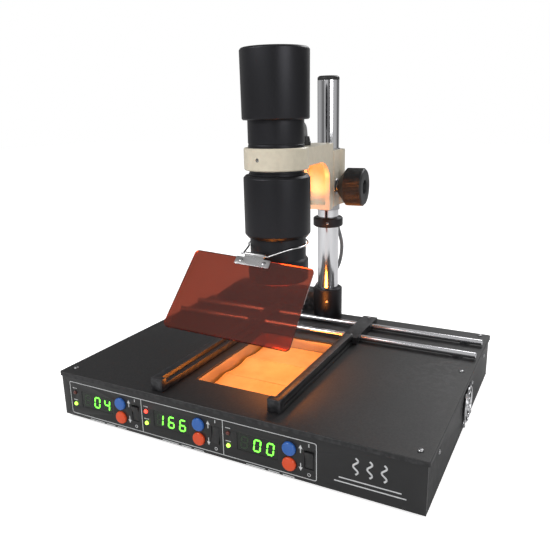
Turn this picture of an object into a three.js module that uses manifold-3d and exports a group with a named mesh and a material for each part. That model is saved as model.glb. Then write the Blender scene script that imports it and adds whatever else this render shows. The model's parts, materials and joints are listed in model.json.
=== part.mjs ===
// Infrared rework station: a lamp on a column over a preheated, ventilated control base.
// Millimetres, +Z up, +X to the operator's right, the control panel faces -Y.
import * as THREE from 'three';
import { mergeVertices } from 'three/addons/utils/BufferGeometryUtils.js';
import Module from 'manifold-3d';

const wasm = await Module();
wasm.setup();

// ---------------------------------------------------------------- driving dimensions
const GAP = 0.3;                  // clearance between touching pieces
const FOOT_HEIGHT = 5;            // rubber feet under the tray
const SHEET = 1.5;                // sheet steel thickness
const TRAY_HALF_WIDTH = 239.5;
const TRAY_HALF_DEPTH = 179.5;
const LID_HALF_WIDTH = 241.5;
const LID_HALF_DEPTH = 181.5;
const LID_TOP = 61;               // top of the lid above the tray's underside
const LID_LIP = 5.5;
const LID_FOLD = 1;               // radius of the folded edge
const SADDLE_HALF = { x: 6, y: 4.5 };
const PANEL_FRONT = -179.5;
const PANEL_SHEET = 2;
const PANEL_BACK = PANEL_FRONT + PANEL_SHEET;

const MODULE_PITCH = 117.1;       // three identical control modules along the panel
const MODULES = [-MODULE_PITCH, 0, MODULE_PITCH];
const BUTTON_X = -25.3;           // places in the middle module
const BUTTON_UP_Z = 35;
const BUTTON_DOWN_Z = 16.5;
const BUTTON_RADIUS = 8;
const BUTTON_PROUD = 2.9;
const DISPLAY_X = -64.6;
const DISPLAY_Z = 27.4;
const DISPLAY_WIDTH = 51;
const DISPLAY_HEIGHT = 21;
const LED_X = -102;
const LED_SET_Z = 34;
const LED_CURRENT_Z = 18.5;
const LED_RADIUS = 2.4;
const ROCKER_X = -1.9;
const ROCKER_Z = 27;
const ROCKER_WIDTH = 10;
const ROCKER_HEIGHT = 20;
const ROCKER_TILT = THREE.MathUtils.degToRad(7);
const ROCKER_STATES = [1, -1, 1];  // the middle module is on, with the top of its rocker pressed in
const ROCKER_PIVOT = 2.4;         // behind the panel's front
const ROCKER_FACE = -3.2;         // rocker's edges, in front of its pivot
const SWITCH_BODY = 6;

const HEATER_HALF_WIDTH = 65;     // opening in the lid over the preheater
const HEATER_FRONT = -125;
const HEATER_REAR = 55;
const EMITTER_LENGTH = 122;
const EMITTER_WIDTH = 58;
const EMITTER_PITCH = 59;
const EMITTER_TOP = 45;
const EMITTER_BODY = 10;
const WELL_FLOOR = 26;
const STEM_WIDTH = 18;

const FAN_Y = 14.5;
const FAN_Z = 29.5;
const FAN_SIZE = 50;
const FAN_DEPTH = 15;
const FAN_BORE = 23.5;

const COLUMN_X = -5.6;
const COLUMN_Y = 159;
const COLUMN_RADIUS = 16;
const COLUMN_WALL = 2.5;
const COLUMN_BOTTOM = 5;
const COLUMN_TOP = 424;
const CAP_TOP = 430;
const SOCKET_RADIUS = 22.4;
const SOCKET_SPIGOT = 18.6;         // the socket's lower part, below the lid
const SOCKET_TOP = 112;
const COLLAR_RADIUS = 22.7;
const COLLAR_BOTTOM = 210;
const COLLAR_TOP = 224.5;

const RAIL_RADIUS = 4;
const RAIL_HALF_LENGTH = 238;
const RAIL_FRONT_Y = 82;
const RAIL_REAR_Y = 132;
const RAIL_Z = 66.3;
const SADDLE_X = 214;
const SLIDER_TOP = 72.3;
const SLIDER_BOTTOM = 61.9;
const SLIDER_WIDTH = 22;
const SLIDER_FRONT = 62;
const SLIDER_REAR = 157;
const ARM_BAR_WIDTH = 16.5;
const ARM_BAR_TOP = 77.3;
const LEDGE_WIDTH = 6;
const LEDGE_Z = 70.5;
const STOP_LENGTH = 9;
const HOLDERS = {
  left: { slider: -101, bar: -95.5, front: -174, inner: 1 },
  right: { slider: 56, bar: 56, front: -161, inner: -1 },
};

const REAR_BOX = { left: -190, right: -30, slope: 44, depth: 30, bottom: 16, top: 92 };
const INLET = { x: 150, z: 30, width: 28, height: 22, flange: 11 };
const IRON_RADIUS = 9;            // soldering iron socket in the left side
const IRON_Y = -130;
const IRON_Z = 30;
const VENT_SLOTS = 10;
const VENT_FIRST_Y = -30;
const VENT_PITCH = 9;
const VENT_WIDTH = 3;
const VENT_BOTTOM = 14;
const VENT_TOP = 46;
const FOOT_X = 205;
const FOOT_Y = 150;
const FOOT_RADIUS = 9.5;
const FOOT_TIP_RADIUS = 8;

const CONTROL_BOARD = { left: -222, right: -92, front: -80, rear: 90, top: 13.6, sheet: 1.6 };
const DISPLAY_BOARD = { left: -226, right: 126, bottom: 5, top: 52, sheet: 1.6, setBack: 11 };
const CORE = { left: 110, right: 176, front: 70, rear: 125, top: 52 };
const COIL = { left: 122, right: 164, front: 56, rear: 139, bottom: 10, top: 46 };
const FRAME_FEET = { left: 100, right: 186, front: 78, rear: 117, top: 4 };

const ARM_YAW = THREE.MathUtils.degToRad(4.6);
const ARM_REACH = 199;            // column axis to lamp axis
const SLEEVE_RADIUS = 17.6;
const SLEEVE_BOTTOM = 236;
const BLOCK_BOTTOM = 246;
const BLOCK_TOP = 326;
const BLOCK_BOSS = 25;
const BLOCK_HALF_WIDTH = 21;
const BLOCK_FRONT = -38;
const CLAMP_Z = 300;
const CLAMP_SCREW = 3;
const CLAMP_KNOB = 11;
const CLAMP_LENGTH = 16;
const PLATE_BACK = BLOCK_FRONT - GAP;
const PLATE_FRONT = -54;
const PLATE_HALF_WIDTH = 20;
const PLATE_BOTTOM = 243.5;
const PLATE_TOP = 337;
const CHEEK = 7;
const ARCH_RADIUS = 22;
const BRIDGE_UNDERSIDE = 314;
const TONGUE_DEPTH = 5.5;
const TONGUE_MOUTH = 8;
const TONGUE_ROOT = 11;
const RING_BOTTOM = 315;
const RING_TOP = 341;
const RING_RADIUS = 39.1;
const FOCUS_Z = 274;
const GEAR_TEETH = 12;
const GEAR_MODULE = 0.8;
const GEAR_PITCH_RADIUS = GEAR_TEETH * GEAR_MODULE / 2;
const TOOTH_HEIGHT = 1.5;
const TOOTH_BASE = 1.25;
const TOOTH_TIP = 0.55;
const GEAR_BACKLASH = 0.3;
const RACK_FACE = -30.9;          // rack tooth roots, measured from the column axis
const RACK_HALF_WIDTH = 4.5;
const RACK_HALF_LENGTH = 27;
const RACK_BED = 1.2;
const SHAFT_RADIUS = 4;
const PINION_Y = RACK_FACE + TOOTH_HEIGHT / 2 + GEAR_PITCH_RADIUS + GEAR_BACKLASH;
const KNOB_RADIUS = 27;
const KNOB_INNER = 25;
const KNOB_OUTER = 64;

const BARREL_RADIUS = 33.7;
const BARREL_BOTTOM = 300;
const BARREL_TOP = 384;
const CAP_RADIUS_TOP = 40.85;
const CAP_RADIUS_BOTTOM = 40.2;
const LAMP_CAP_BOTTOM = 372.6;
const LAMP_CAP_TOP = 452.2;
const LAMP_BODY_RADIUS = 40.5;
const LAMP_BODY_BOTTOM = 233.4;
const LAMP_BODY_TOP = 308.9;
const NECK_RADIUS = 34.6;
const NOZZLE_RADIUS = 37.5;
const NOZZLE_TOP = 207;
const NOZZLE_BOTTOM = 178;
const NOZZLE_MOUTH = 27;
const LENS_Z = 200;
const NECK_TOP = LAMP_BODY_BOTTOM + 12;
const REFLECTOR_Z = 252;
const TUBE_WALL = 2.4;

const SHIELD_WIDTH = 150;
const SHIELD_HEIGHT = 107;
const SHIELD_SHEET = 3;
const SHIELD_TOP = -5.5;          // plate's top edge below the hinge axis
const HINGE = new THREE.Vector3(3.1, -85, 217.8);
const HINGE_YAW = THREE.MathUtils.degToRad(8.85);
const HINGE_ROLL = THREE.MathUtils.degToRad(5.74);
const HINGE_PITCH = THREE.MathUtils.degToRad(-49.2);
const HINGE_HALF = 12;
const WIRE_RADIUS = 1.1;
const WIRE_RING_RADIUS = 37;
const WIRE_RING_Z = 224;
const WIRE_RISE = 1.5;            // the ring leans by this much
const WIRE_ANGLES = [-40, -15, 10, 35, 60, 90, 120, 145, 170, 195, 220];
const RIVET_X = 14.3;
const RIVET_Z = -10.5;
const CLIP_HALF = 21.5;
const CLIP_LEAF = 0.9;
const CLIP_BOTTOM = -16;

const LEAD_RADIUS = 2.8;
const LEAD_HOLE = LEAD_RADIUS + 0.6;
const LEAD_EXIT_Z = 358;          // hole in the lamp's neck
const LEAD_CLIP_Y = 27;           // ear behind the sleeve
const LEAD_BASE_X = -42;
const LEAD_BASE_Y = TRAY_HALF_DEPTH + 18;
const GLAND_Y = -98;
const GLAND_TOP = 349;
const GLAND_RADIUS = 7;
const PORT_RADIUS = 6;            // wiring hole between the tray and the rear box
const PORT_X = -60;
const PORT_Z = 38;

const X_AXIS = new THREE.Vector3(1, 0, 0);
const Y_AXIS = new THREE.Vector3(0, 1, 0);
const Z_AXIS = new THREE.Vector3(0, 0, 1);
const FAR = 400;                  // beyond every edge, for cutting right through

// The origin is under the middle of the whole station.
const GUARD_PROUD = 4.2;
const IRON_PROUD = 3;
const FRONT_EDGE = PANEL_FRONT - BUTTON_PROUD;
const REAR_EDGE = TRAY_HALF_DEPTH + GAP + REAR_BOX.depth;
const CENTRE_X = (GUARD_PROUD - IRON_PROUD) / 2;
const CENTRE_Y = (FRONT_EDGE + REAR_EDGE) / 2;

// ---------------------------------------------------------------- materials
function paint(color, roughness, metalness) {
  return new THREE.MeshStandardMaterial({ color, roughness, metalness });
}


const blackPaint = paint(0x1c1d1f, 0.55, 0.2);
const panelBlack = paint(0x141416, 0.5, 0.1);
const blackAnodised = paint(0x232426, 0.4, 0.6);
const creamPaint = paint(0xcfc4a4, 0.5, 0.1);
const polishedSteel = paint(0xc8c9cc, 0.15, 1);
const brushedSteel = paint(0xa9abad, 0.35, 1);
const blackPlastic = paint(0x18181a, 0.6, 0);
const rubber = paint(0x0f0f10, 0.9, 0);
const ceramic = paint(0xe6e1d4, 0.6, 0);
const boardGreen = paint(0x14503a, 0.6, 0);
const copperCoil = paint(0x9a5a2c, 0.4, 0.8);
const tintedSheet = paint(0x7a1c10, 0.1, 0);
const clearGlass = paint(0xd8e4e8, 0.05, 0);
const greyLead = paint(0x77797c, 0.6, 0);
const blueCap = paint(0x1d55b4, 0.4, 0);
const orangeCap = paint(0xd9431c, 0.4, 0);

// ---------------------------------------------------------------- solids
function solid(geometry) {
  const bare = geometry.clone();
  bare.deleteAttribute('normal');
  bare.deleteAttribute('uv');
  const merged = mergeVertices(bare, 1e-4);
  const index = merged.index.array;
  const kept = [];
  for (let i = 0; i < index.length; i += 3) {
    const [a, b, c] = [index[i], index[i + 1], index[i + 2]];
    if (a !== b && b !== c && a !== c) {
      kept.push(a, b, c);
    }
  }
  const vertProperties = new Float32Array(merged.attributes.position.array);
  const triVerts = new Uint32Array(kept);
  return new wasm.Manifold(new wasm.Mesh({ numProp: 3, vertProperties, triVerts }));
}

function toGeometry(body) {
  const mesh = body.getMesh();
  const geometry = new THREE.BufferGeometry();
  geometry.setAttribute('position', new THREE.BufferAttribute(new Float32Array(mesh.vertProperties), 3));
  geometry.setIndex(new THREE.BufferAttribute(new Uint32Array(mesh.triVerts), 1));
  geometry.computeVertexNormals();
  return geometry;
}

function box(x0, x1, y0, y1, z0, z1) {
  const geometry = new THREE.BoxGeometry(x1 - x0, y1 - y0, z1 - z0);
  geometry.translate((x0 + x1) / 2, (y0 + y1) / 2, (z0 + z1) / 2);
  return solid(geometry);
}

// A round bar along 'x', 'y' or 'z' from a to b; the centre gives the other two coordinates in order.
function rod(axis, radius, a, b, centre = [0, 0], sides = 16, endRadius = radius) {
  const geometry = new THREE.CylinderGeometry(endRadius, radius, b - a, sides);
  geometry.translate(0, (a + b) / 2, 0);
  if (axis === 'x') {
    geometry.rotateZ(-Math.PI / 2);
    geometry.translate(0, centre[0], centre[1]);
  } else if (axis === 'y') {
    geometry.translate(centre[0], 0, centre[1]);
  } else {
    geometry.rotateX(Math.PI / 2);
    geometry.translate(centre[0], centre[1], 0);
  }
  return solid(geometry);
}

// A piece turned about Z from [radius, height] points; it starts and ends on the axis or closes on itself.
function turned(profile, sides = 24) {
  const points = profile.map(([r, z]) => new THREE.Vector2(r, z));
  if (points[0].x > 0) {
    points.push(points[0].clone());
  }
  const geometry = new THREE.LatheGeometry(points, sides);
  geometry.rotateX(Math.PI / 2);
  const body = solid(geometry);
  return body.volume() < 0 ? solid(flipped(geometry)) : body;
}

function flipped(geometry) {
  const copy = geometry.clone();
  const index = copy.index.array;
  for (let i = 0; i < index.length; i += 3) {
    [index[i + 1], index[i + 2]] = [index[i + 2], index[i + 1]];
  }
  return copy;
}

// An outline in X and Z pushed along Y, or in Y and Z pushed along X, or in X and Y pushed along Z.
function pushed(axis, shape, a, b) {
  const geometry = new THREE.ExtrudeGeometry(shape, { depth: b - a, bevelEnabled: false, curveSegments: 8 });
  geometry.translate(0, 0, a);
  if (axis === 'x') {
    geometry.applyMatrix4(new THREE.Matrix4().makeBasis(Y_AXIS, Z_AXIS, X_AXIS));
  } else if (axis === 'y') {
    geometry.applyMatrix4(new THREE.Matrix4().makeBasis(X_AXIS, Z_AXIS, Y_AXIS.clone().negate()));
    geometry.translate(0, a + b, 0);
  }
  return solid(geometry);
}

function outline(points) {
  return new THREE.Shape(points.map(([x, y]) => new THREE.Vector2(x, y)));
}

function roundedRectangle(x0, x1, y0, y1, r) {
  const shape = new THREE.Shape();
  shape.moveTo(x0 + r, y0);
  shape.lineTo(x1 - r, y0);
  shape.absarc(x1 - r, y0 + r, r, -Math.PI / 2, 0);
  shape.lineTo(x1, y1 - r);
  shape.absarc(x1 - r, y1 - r, r, 0, Math.PI / 2);
  shape.lineTo(x0 + r, y1);
  shape.absarc(x0 + r, y1 - r, r, Math.PI / 2, Math.PI);
  shape.lineTo(x0, y0 + r);
  shape.absarc(x0 + r, y0 + r, r, Math.PI, Math.PI * 1.5);
  return shape;
}

// A round bar that follows a smooth curve through the given points.
function swept(points, radius, steps, sides = 8) {
  const section = new THREE.Shape();
  for (let i = 0; i < sides; i += 1) {
    const angle = (i / sides) * Math.PI * 2;
    const [x, y] = [Math.cos(angle) * radius, Math.sin(angle) * radius];
    if (i === 0) {
      section.moveTo(x, y);
    } else {
      section.lineTo(x, y);
    }
  }
  const path = new THREE.CatmullRomCurve3(points.map((p) => new THREE.Vector3(...p)), false, 'centripetal');
  return solid(new THREE.ExtrudeGeometry(section, { steps, extrudePath: path, bevelEnabled: false }));
}

function joined(bodies) {
  return bodies.reduce((sum, body) => sum.add(body));
}

const station = new THREE.Group();
station.position.set(-CENTRE_X, -CENTRE_Y, FOOT_HEIGHT);

function place(name, body, material, parent = station) {
  const mesh = new THREE.Mesh(toGeometry(body), material);
  mesh.name = name;
  parent.add(mesh);
  return mesh;
}

// ---------------------------------------------------------------- base
function baseTray() {
  const wallTop = LID_TOP - SHEET - GAP;
  const front = PANEL_BACK + GAP;
  const side = TRAY_HALF_WIDTH;
  let tray = joined([
    box(-side, side, front, TRAY_HALF_DEPTH, 0, SHEET),
    box(-side, -side + SHEET, front, TRAY_HALF_DEPTH, 0, wallTop),
    box(side - SHEET, side, front, TRAY_HALF_DEPTH, 0, wallTop),
    box(-side, side, TRAY_HALF_DEPTH - SHEET, TRAY_HALF_DEPTH, 0, wallTop),
  ]);
  tray = tray.subtract(rod('x', FAN_BORE, side - 5, side + 5, [FAN_Y, FAN_Z]));
  tray = tray.subtract(rod('x', IRON_RADIUS + GAP, -side - 5, -side + 5, [IRON_Y, IRON_Z]));
  const [rearIn, rearOut] = [TRAY_HALF_DEPTH - 5, TRAY_HALF_DEPTH + 5];
  tray = tray.subtract(centredBox(INLET.x, INLET.z, INLET.width + 2 * GAP, INLET.height + 2 * GAP,
    rearIn, rearOut));
  tray = tray.subtract(rod('y', PORT_RADIUS, rearIn, rearOut, [PORT_X, PORT_Z]));
  for (let i = 0; i < VENT_SLOTS; i += 1) {
    const y = VENT_FIRST_Y + i * VENT_PITCH;
    tray = tray.subtract(box(-side - 5, -side + 5, y, y + VENT_WIDTH, VENT_BOTTOM, VENT_TOP));
  }
  return tray;
}

function lidSheet() {
  const [halfWidth, halfDepth] = [LID_HALF_WIDTH - LID_FOLD, LID_HALF_DEPTH - LID_FOLD];
  const sheet = roundedRectangle(-halfWidth, halfWidth, -halfDepth, halfDepth, 2);
  const geometry = new THREE.ExtrudeGeometry(sheet, {
    depth: 18, bevelSize: LID_FOLD, bevelThickness: LID_FOLD, bevelSegments: 3, curveSegments: 3,
  });
  geometry.translate(0, 0, LID_TOP - 18 - LID_FOLD);
  let lid = solid(geometry).subtract(box(-FAR, FAR, -FAR, FAR, 0, LID_TOP - LID_LIP));
  lid = lid.subtract(box(-LID_HALF_WIDTH + SHEET, LID_HALF_WIDTH - SHEET, -LID_HALF_DEPTH + SHEET,
    LID_HALF_DEPTH - SHEET, 0, LID_TOP - SHEET));
  for (const y of [RAIL_FRONT_Y, RAIL_REAR_Y]) {
    for (const x of [-SADDLE_X, SADDLE_X]) {
      lid = lid.add(box(x - SADDLE_HALF.x, x + SADDLE_HALF.x, y - SADDLE_HALF.y, y + SADDLE_HALF.y,
        LID_TOP - 0.5, RAIL_Z - 2));
    }
    lid = lid.subtract(rod('x', RAIL_RADIUS + GAP, -FAR, FAR, [y, RAIL_Z]));
  }
  lid = lid.subtract(box(-HEATER_HALF_WIDTH, HEATER_HALF_WIDTH, HEATER_FRONT, HEATER_REAR, 40, 80));
  return lid.subtract(rod('z', SOCKET_SPIGOT + GAP, 40, 80, [COLUMN_X, COLUMN_Y], 24));
}

function frontPanel() {
  let panel = box(-TRAY_HALF_WIDTH, TRAY_HALF_WIDTH, PANEL_FRONT, PANEL_BACK, 0, LID_TOP - SHEET - GAP);
  const [a, b] = [PANEL_FRONT - 5, PANEL_BACK + 5];
  for (const x of MODULES) {
    for (const z of [BUTTON_UP_Z, BUTTON_DOWN_Z]) {
      panel = panel.subtract(rod('y', BUTTON_RADIUS + GAP, a, b, [x + BUTTON_X, z]));
    }
    for (const z of [LED_SET_Z, LED_CURRENT_Z]) {
      panel = panel.subtract(rod('y', LED_RADIUS + GAP, a, b, [x + LED_X, z], 16));
    }
    panel = panel.subtract(centredBox(x + DISPLAY_X, DISPLAY_Z, DISPLAY_WIDTH + 0.6,
      DISPLAY_HEIGHT + 0.6, a, b));
    panel = panel.subtract(centredBox(x + ROCKER_X, ROCKER_Z, ROCKER_WIDTH + 0.8,
      ROCKER_HEIGHT + 1.6, a, b));
  }
  return panel;
}

function centredBox(x, z, width, height, y0, y1) {
  return box(x - width / 2, x + width / 2, y0, y1, z - height / 2, z + height / 2);
}

function displayBoard() {
  const { left, right, bottom, top, sheet, setBack } = DISPLAY_BOARD;
  const back = PANEL_BACK + setBack;
  let board = box(left, right, back, back + sheet, bottom, top);
  for (const x of MODULES) {
    board = board.add(centredBox(x + DISPLAY_X, DISPLAY_Z, DISPLAY_WIDTH, DISPLAY_HEIGHT,
      PANEL_FRONT + 0.4, back + 0.5));
    for (const z of [LED_SET_Z, LED_CURRENT_Z]) {
      board = board.add(rod('y', LED_RADIUS, PANEL_FRONT - 1, back + 0.5, [x + LED_X, z], 16));
    }
    for (const z of [BUTTON_UP_Z, BUTTON_DOWN_Z]) {
      board = board.add(centredBox(x + BUTTON_X, z, SWITCH_BODY, SWITCH_BODY, back - 4.5, back + 0.5));
    }
  }
  return board;
}

function heaterWell() {
  const [front, rear] = [HEATER_FRONT + 1.5, HEATER_REAR - 1.5];
  const half = HEATER_HALF_WIDTH - 1.5;
  const rim = LID_TOP - SHEET - GAP;
  let well = box(-half - 9, half + 9, front - 9, rear + 9, rim - 1, rim);
  well = well.add(box(-half - 1, half + 1, front - 1, rear + 1, WELL_FLOOR, rim));
  well = well.subtract(box(-half, half, front, rear, WELL_FLOOR + 1, rim + 1));
  for (const y of emitterCentres()) {
    well = well.subtract(box(-STEM_WIDTH / 2 - 1, STEM_WIDTH / 2 + 1, y - STEM_WIDTH / 2 - 1,
      y + STEM_WIDTH / 2 + 1, WELL_FLOOR - 5, WELL_FLOOR + 5));
  }
  return well;
}

function emitterCentres() {
  const middle = (HEATER_FRONT + HEATER_REAR) / 2;
  return [middle - EMITTER_PITCH, middle, middle + EMITTER_PITCH];
}

// A ceramic emitter with a shallow trough along its face and a square mounting stem.
function emitter() {
  const [half, depth] = [EMITTER_WIDTH / 2, EMITTER_BODY];
  const shape = new THREE.Shape();
  shape.moveTo(-half, EMITTER_TOP - depth);
  shape.lineTo(half, EMITTER_TOP - depth);
  shape.lineTo(half, EMITTER_TOP);
  shape.quadraticCurveTo(0, EMITTER_TOP - 7, -half, EMITTER_TOP);
  const body = pushed('x', shape, -EMITTER_LENGTH / 2, EMITTER_LENGTH / 2);
  const stem = STEM_WIDTH / 2;
  return body.add(box(-stem, stem, -stem, stem, WELL_FLOOR - 8, EMITTER_TOP - depth + 1));
}

function controlBoard() {
  const { left, right, front, rear, top, sheet } = CONTROL_BOARD;
  let board = box(left, right, front, rear, top - sheet, top);
  for (const x of [left + 6, right - 6]) {
    for (const y of [front + 6, rear - 6]) {
      board = board.add(rod('z', 3, SHEET + GAP, top, [x, y], 8));
    }
  }
  const heatSink = box(left + 10, left + 20, front + 20, rear - 30, top - 0.5, top + 30);
  board = board.add(heatSink);
  for (let i = 0; i < MODULES.length; i += 1) {
    const relay = box(left + 32, left + 62, 0, 28, top - 0.5, top + 19);
    board = board.add(relay.translate([0, front + 14 + i * 34, 0]));
    board = board.add(rod('z', 8, top - 0.5, top + 24, [right - 36, front + 28 + i * 40], 12));
  }
  return board;
}

function transformer() {
  const floor = SHEET + GAP;
  return joined([
    box(CORE.left, CORE.right, CORE.front, CORE.rear, floor, CORE.top),
    box(COIL.left, COIL.right, COIL.front, COIL.rear, COIL.bottom, COIL.top),
    box(FRAME_FEET.left, FRAME_FEET.right, FRAME_FEET.front, FRAME_FEET.rear, floor, FRAME_FEET.top),
  ]);
}

function columnSocket() {
  const radius = SOCKET_RADIUS;
  const bore = COLUMN_RADIUS + GAP;
  const floor = SHEET + GAP;
  const shoulder = LID_TOP + GAP;
  const socket = turned([[0, floor], [SOCKET_SPIGOT, floor], [SOCKET_SPIGOT, shoulder], [radius, shoulder],
    [radius, SOCKET_TOP - 1.2], [radius - 1.2, SOCKET_TOP], [bore, SOCKET_TOP], [bore, COLUMN_BOTTOM - GAP],
    [0, COLUMN_BOTTOM - GAP]]);
  return socket.add(box(-30, 30, -30, SOCKET_SPIGOT - 2, floor, floor + 2.5));
}

function rearBox() {
  const { left, right, slope, depth, bottom, top } = REAR_BOX;
  const shape = outline([[left - slope, bottom], [right, bottom], [right, top], [left, top],
    [left - slope, LID_TOP]]);
  const near = TRAY_HALF_DEPTH + GAP;
  let shell = pushed('y', shape, near, near + depth);
  const inner = outline([[left - slope + 2, bottom + 2], [right - 2, bottom + 2], [right - 2, top - 2],
    [left + 1, top - 2], [left - slope + 2, LID_TOP - 1]]);
  shell = shell.subtract(pushed('y', inner, near + 2, near + depth - 2));
  shell = shell.subtract(rod('y', PORT_RADIUS, near - 5, near + 5, [PORT_X, PORT_Z]));
  shell = shell.subtract(box(-FAR, FAR, near - 5, near + 2.5, LID_TOP - LID_LIP - GAP, LID_TOP + GAP));
  shell = shell.add(box(left - slope + 4, right, near + 2.5, near + 4.5,
    LID_TOP - LID_LIP - 3, LID_TOP + 3));
  return shell.subtract(rod('z', LEAD_HOLE, top - 8, top + 8, [LEAD_BASE_X, LEAD_BASE_Y], 12));
}

function fanHousing() {
  const half = FAN_SIZE / 2;
  const outer = TRAY_HALF_WIDTH - SHEET - GAP;
  const inner = outer - FAN_DEPTH;
  let frame = box(inner, outer, FAN_Y - half, FAN_Y + half, FAN_Z - half, FAN_Z + half);
  frame = frame.subtract(rod('x', FAN_BORE, inner - 5, outer + 5, [FAN_Y, FAN_Z]));
  frame = frame.add(rod('x', 9, inner, inner + 2, [FAN_Y, FAN_Z], 24));
  for (const turn of [0, 1, 2]) {
    const strut = box(inner, inner + 2, 6, FAN_BORE + 1, -2, 2).rotate([turn * 120, 0, 0]);
    frame = frame.add(strut.translate([0, FAN_Y, FAN_Z]));
  }
  return frame;
}

function fanRotor() {
  const start = TRAY_HALF_WIDTH - SHEET - GAP - FAN_DEPTH + 2 + GAP;
  let rotor = rod('x', 8.5, start, start + 10, [0, 0], 24);
  for (let i = 0; i < 7; i += 1) {
    const blade = box(-4.5, 4.5, 7, FAN_BORE - 1, -0.6, 0.6).rotate([0, 38, 0]);
    rotor = rotor.add(blade.translate([start + 5, 0, 0]).rotate([i * 360 / 7, 0, 0]));
  }
  return rotor.translate([0, FAN_Y, FAN_Z]);
}

// A domed wire guard: three rings on two crossed wires, with four screw eyes.
function fanGuard() {
  const out = TRAY_HALF_WIDTH + GAP;
  const wire = 0.9;
  const bodies = [];
  for (const radius of [8, 15, 22]) {
    const ring = new THREE.TorusGeometry(radius, wire, 5, 20);
    ring.rotateY(Math.PI / 2);
    ring.translate(out + GUARD_PROUD - GAP - wire, FAN_Y, FAN_Z);
    bodies.push(solid(ring));
  }
  for (const turn of [45, 135]) {
    const reach = 31;
    const bar = box(out + 1.4, out + 2.6, -reach + 2, reach - 2, -wire, wire);
    const eyes = [-reach + 3, reach - 3].map((y) => rod('x', 3, out, out + 2, [y, 0], 12));
    const spoke = joined([bar, ...eyes]).rotate([turn, 0, 0]);
    bodies.push(spoke.translate([0, FAN_Y, FAN_Z]));
  }
  return joined(bodies);
}

function mainsInlet() {
  const { x, z, width, height } = INLET;
  const rear = TRAY_HALF_DEPTH;
  let inlet = centredBox(x, z, width, height, rear - 22, rear + 1);
  const reach = width / 2 + INLET.flange;
  const flange = roundedRectangle(x - reach, x + reach, z - height / 2 - 2, z + height / 2 + 2, 3);
  inlet = inlet.add(pushed('y', flange, rear + GAP, rear + 3));
  return inlet.subtract(centredBox(x, z, width - 4, height - 5, rear - 16, rear + 10));
}

function ironSocket() {
  const side = -TRAY_HALF_WIDTH;
  const centre = [IRON_Y, IRON_Z];
  let socket = rod('x', IRON_RADIUS, side - IRON_PROUD, side + 16, centre, 24);
  socket = socket.add(rod('x', IRON_RADIUS + 2.5, side - 1.9, side - GAP, centre, 6));
  return socket.subtract(rod('x', IRON_RADIUS - 2, side - 10, side + 8, centre, 24));
}

function foot(x, y) {
  return rod('z', FOOT_TIP_RADIUS, -FOOT_HEIGHT, -GAP, [x, y], 24, FOOT_RADIUS);
}

// ---------------------------------------------------------------- panel controls
function buttonCap(x, z) {
  const cap = rod('y', BUTTON_RADIUS, FRONT_EDGE, PANEL_BACK + 4, [x, z]);
  const flange = rod('y', BUTTON_RADIUS + 1, PANEL_BACK + GAP, PANEL_BACK + 1.8, [x, z], 24);
  return cap.add(flange);
}

// A rocker whose two faces meet in a shallow ridge, centred on its pivot.
function rockerCap() {
  const half = ROCKER_HEIGHT / 2;
  const ridge = outline([[ROCKER_FACE, -half], [ROCKER_FACE + 1.3, 0], [ROCKER_FACE, half], [4, half - 2.5],
    [6, 0], [4, -half + 2.5]]);
  return pushed('x', ridge, -ROCKER_WIDTH / 2, ROCKER_WIDTH / 2);
}

// ---------------------------------------------------------------- board holder
function slider(side) {
  const { slider: x } = HOLDERS[side];
  let body = box(x, x + SLIDER_WIDTH, SLIDER_FRONT, SLIDER_REAR, SLIDER_BOTTOM, SLIDER_TOP);
  for (const y of [RAIL_FRONT_Y, RAIL_REAR_Y]) {
    body = body.subtract(rod('x', RAIL_RADIUS + GAP, x - 5, x + SLIDER_WIDTH + 5, [y, RAIL_Z]));
  }
  return body;
}

// The bar has a ledge along its inner side for the board's edge and a raised stop at its front end.
function holderArm(side) {
  const { bar: x, front, inner } = HOLDERS[side];
  const rear = SLIDER_FRONT - GAP;
  let bar = box(x, x + ARM_BAR_WIDTH, front, rear, SLIDER_BOTTOM, ARM_BAR_TOP);
  const ledge = inner > 0 ? x + ARM_BAR_WIDTH - LEDGE_WIDTH : x - 5;
  bar = bar.subtract(box(ledge, ledge + LEDGE_WIDTH + 5, front + STOP_LENGTH, rear + 5,
    LEDGE_Z, ARM_BAR_TOP + 5));
  const groove = inner > 0 ? x - 5 : x + ARM_BAR_WIDTH - 3;
  return bar.subtract(box(groove, groove + 8, front + STOP_LENGTH, rear + 5, 66, 70));
}

// ---------------------------------------------------------------- column
function columnTube() {
  const [outer, inner] = [COLUMN_RADIUS, COLUMN_RADIUS - COLUMN_WALL];
  return turned([[inner, COLUMN_BOTTOM], [outer, COLUMN_BOTTOM], [outer, COLUMN_TOP], [inner, COLUMN_TOP]]);
}

function columnCap() {
  const plug = COLUMN_RADIUS - COLUMN_WALL - GAP;
  return turned([[0, COLUMN_TOP - 14], [plug, COLUMN_TOP - 14], [plug, COLUMN_TOP + GAP],
    [COLUMN_RADIUS, COLUMN_TOP + GAP], [COLUMN_RADIUS, CAP_TOP - 2.5],
    [COLUMN_RADIUS - 2.5, CAP_TOP], [0, CAP_TOP]]);
}

function stopCollar() {
  const [bore, edge] = [COLUMN_RADIUS + GAP, 2];
  return turned([[bore, COLLAR_BOTTOM], [COLLAR_RADIUS - edge, COLLAR_BOTTOM],
    [COLLAR_RADIUS, COLLAR_BOTTOM + edge], [COLLAR_RADIUS, COLLAR_TOP - edge],
    [COLLAR_RADIUS - edge, COLLAR_TOP], [bore, COLLAR_TOP]]);
}

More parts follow.
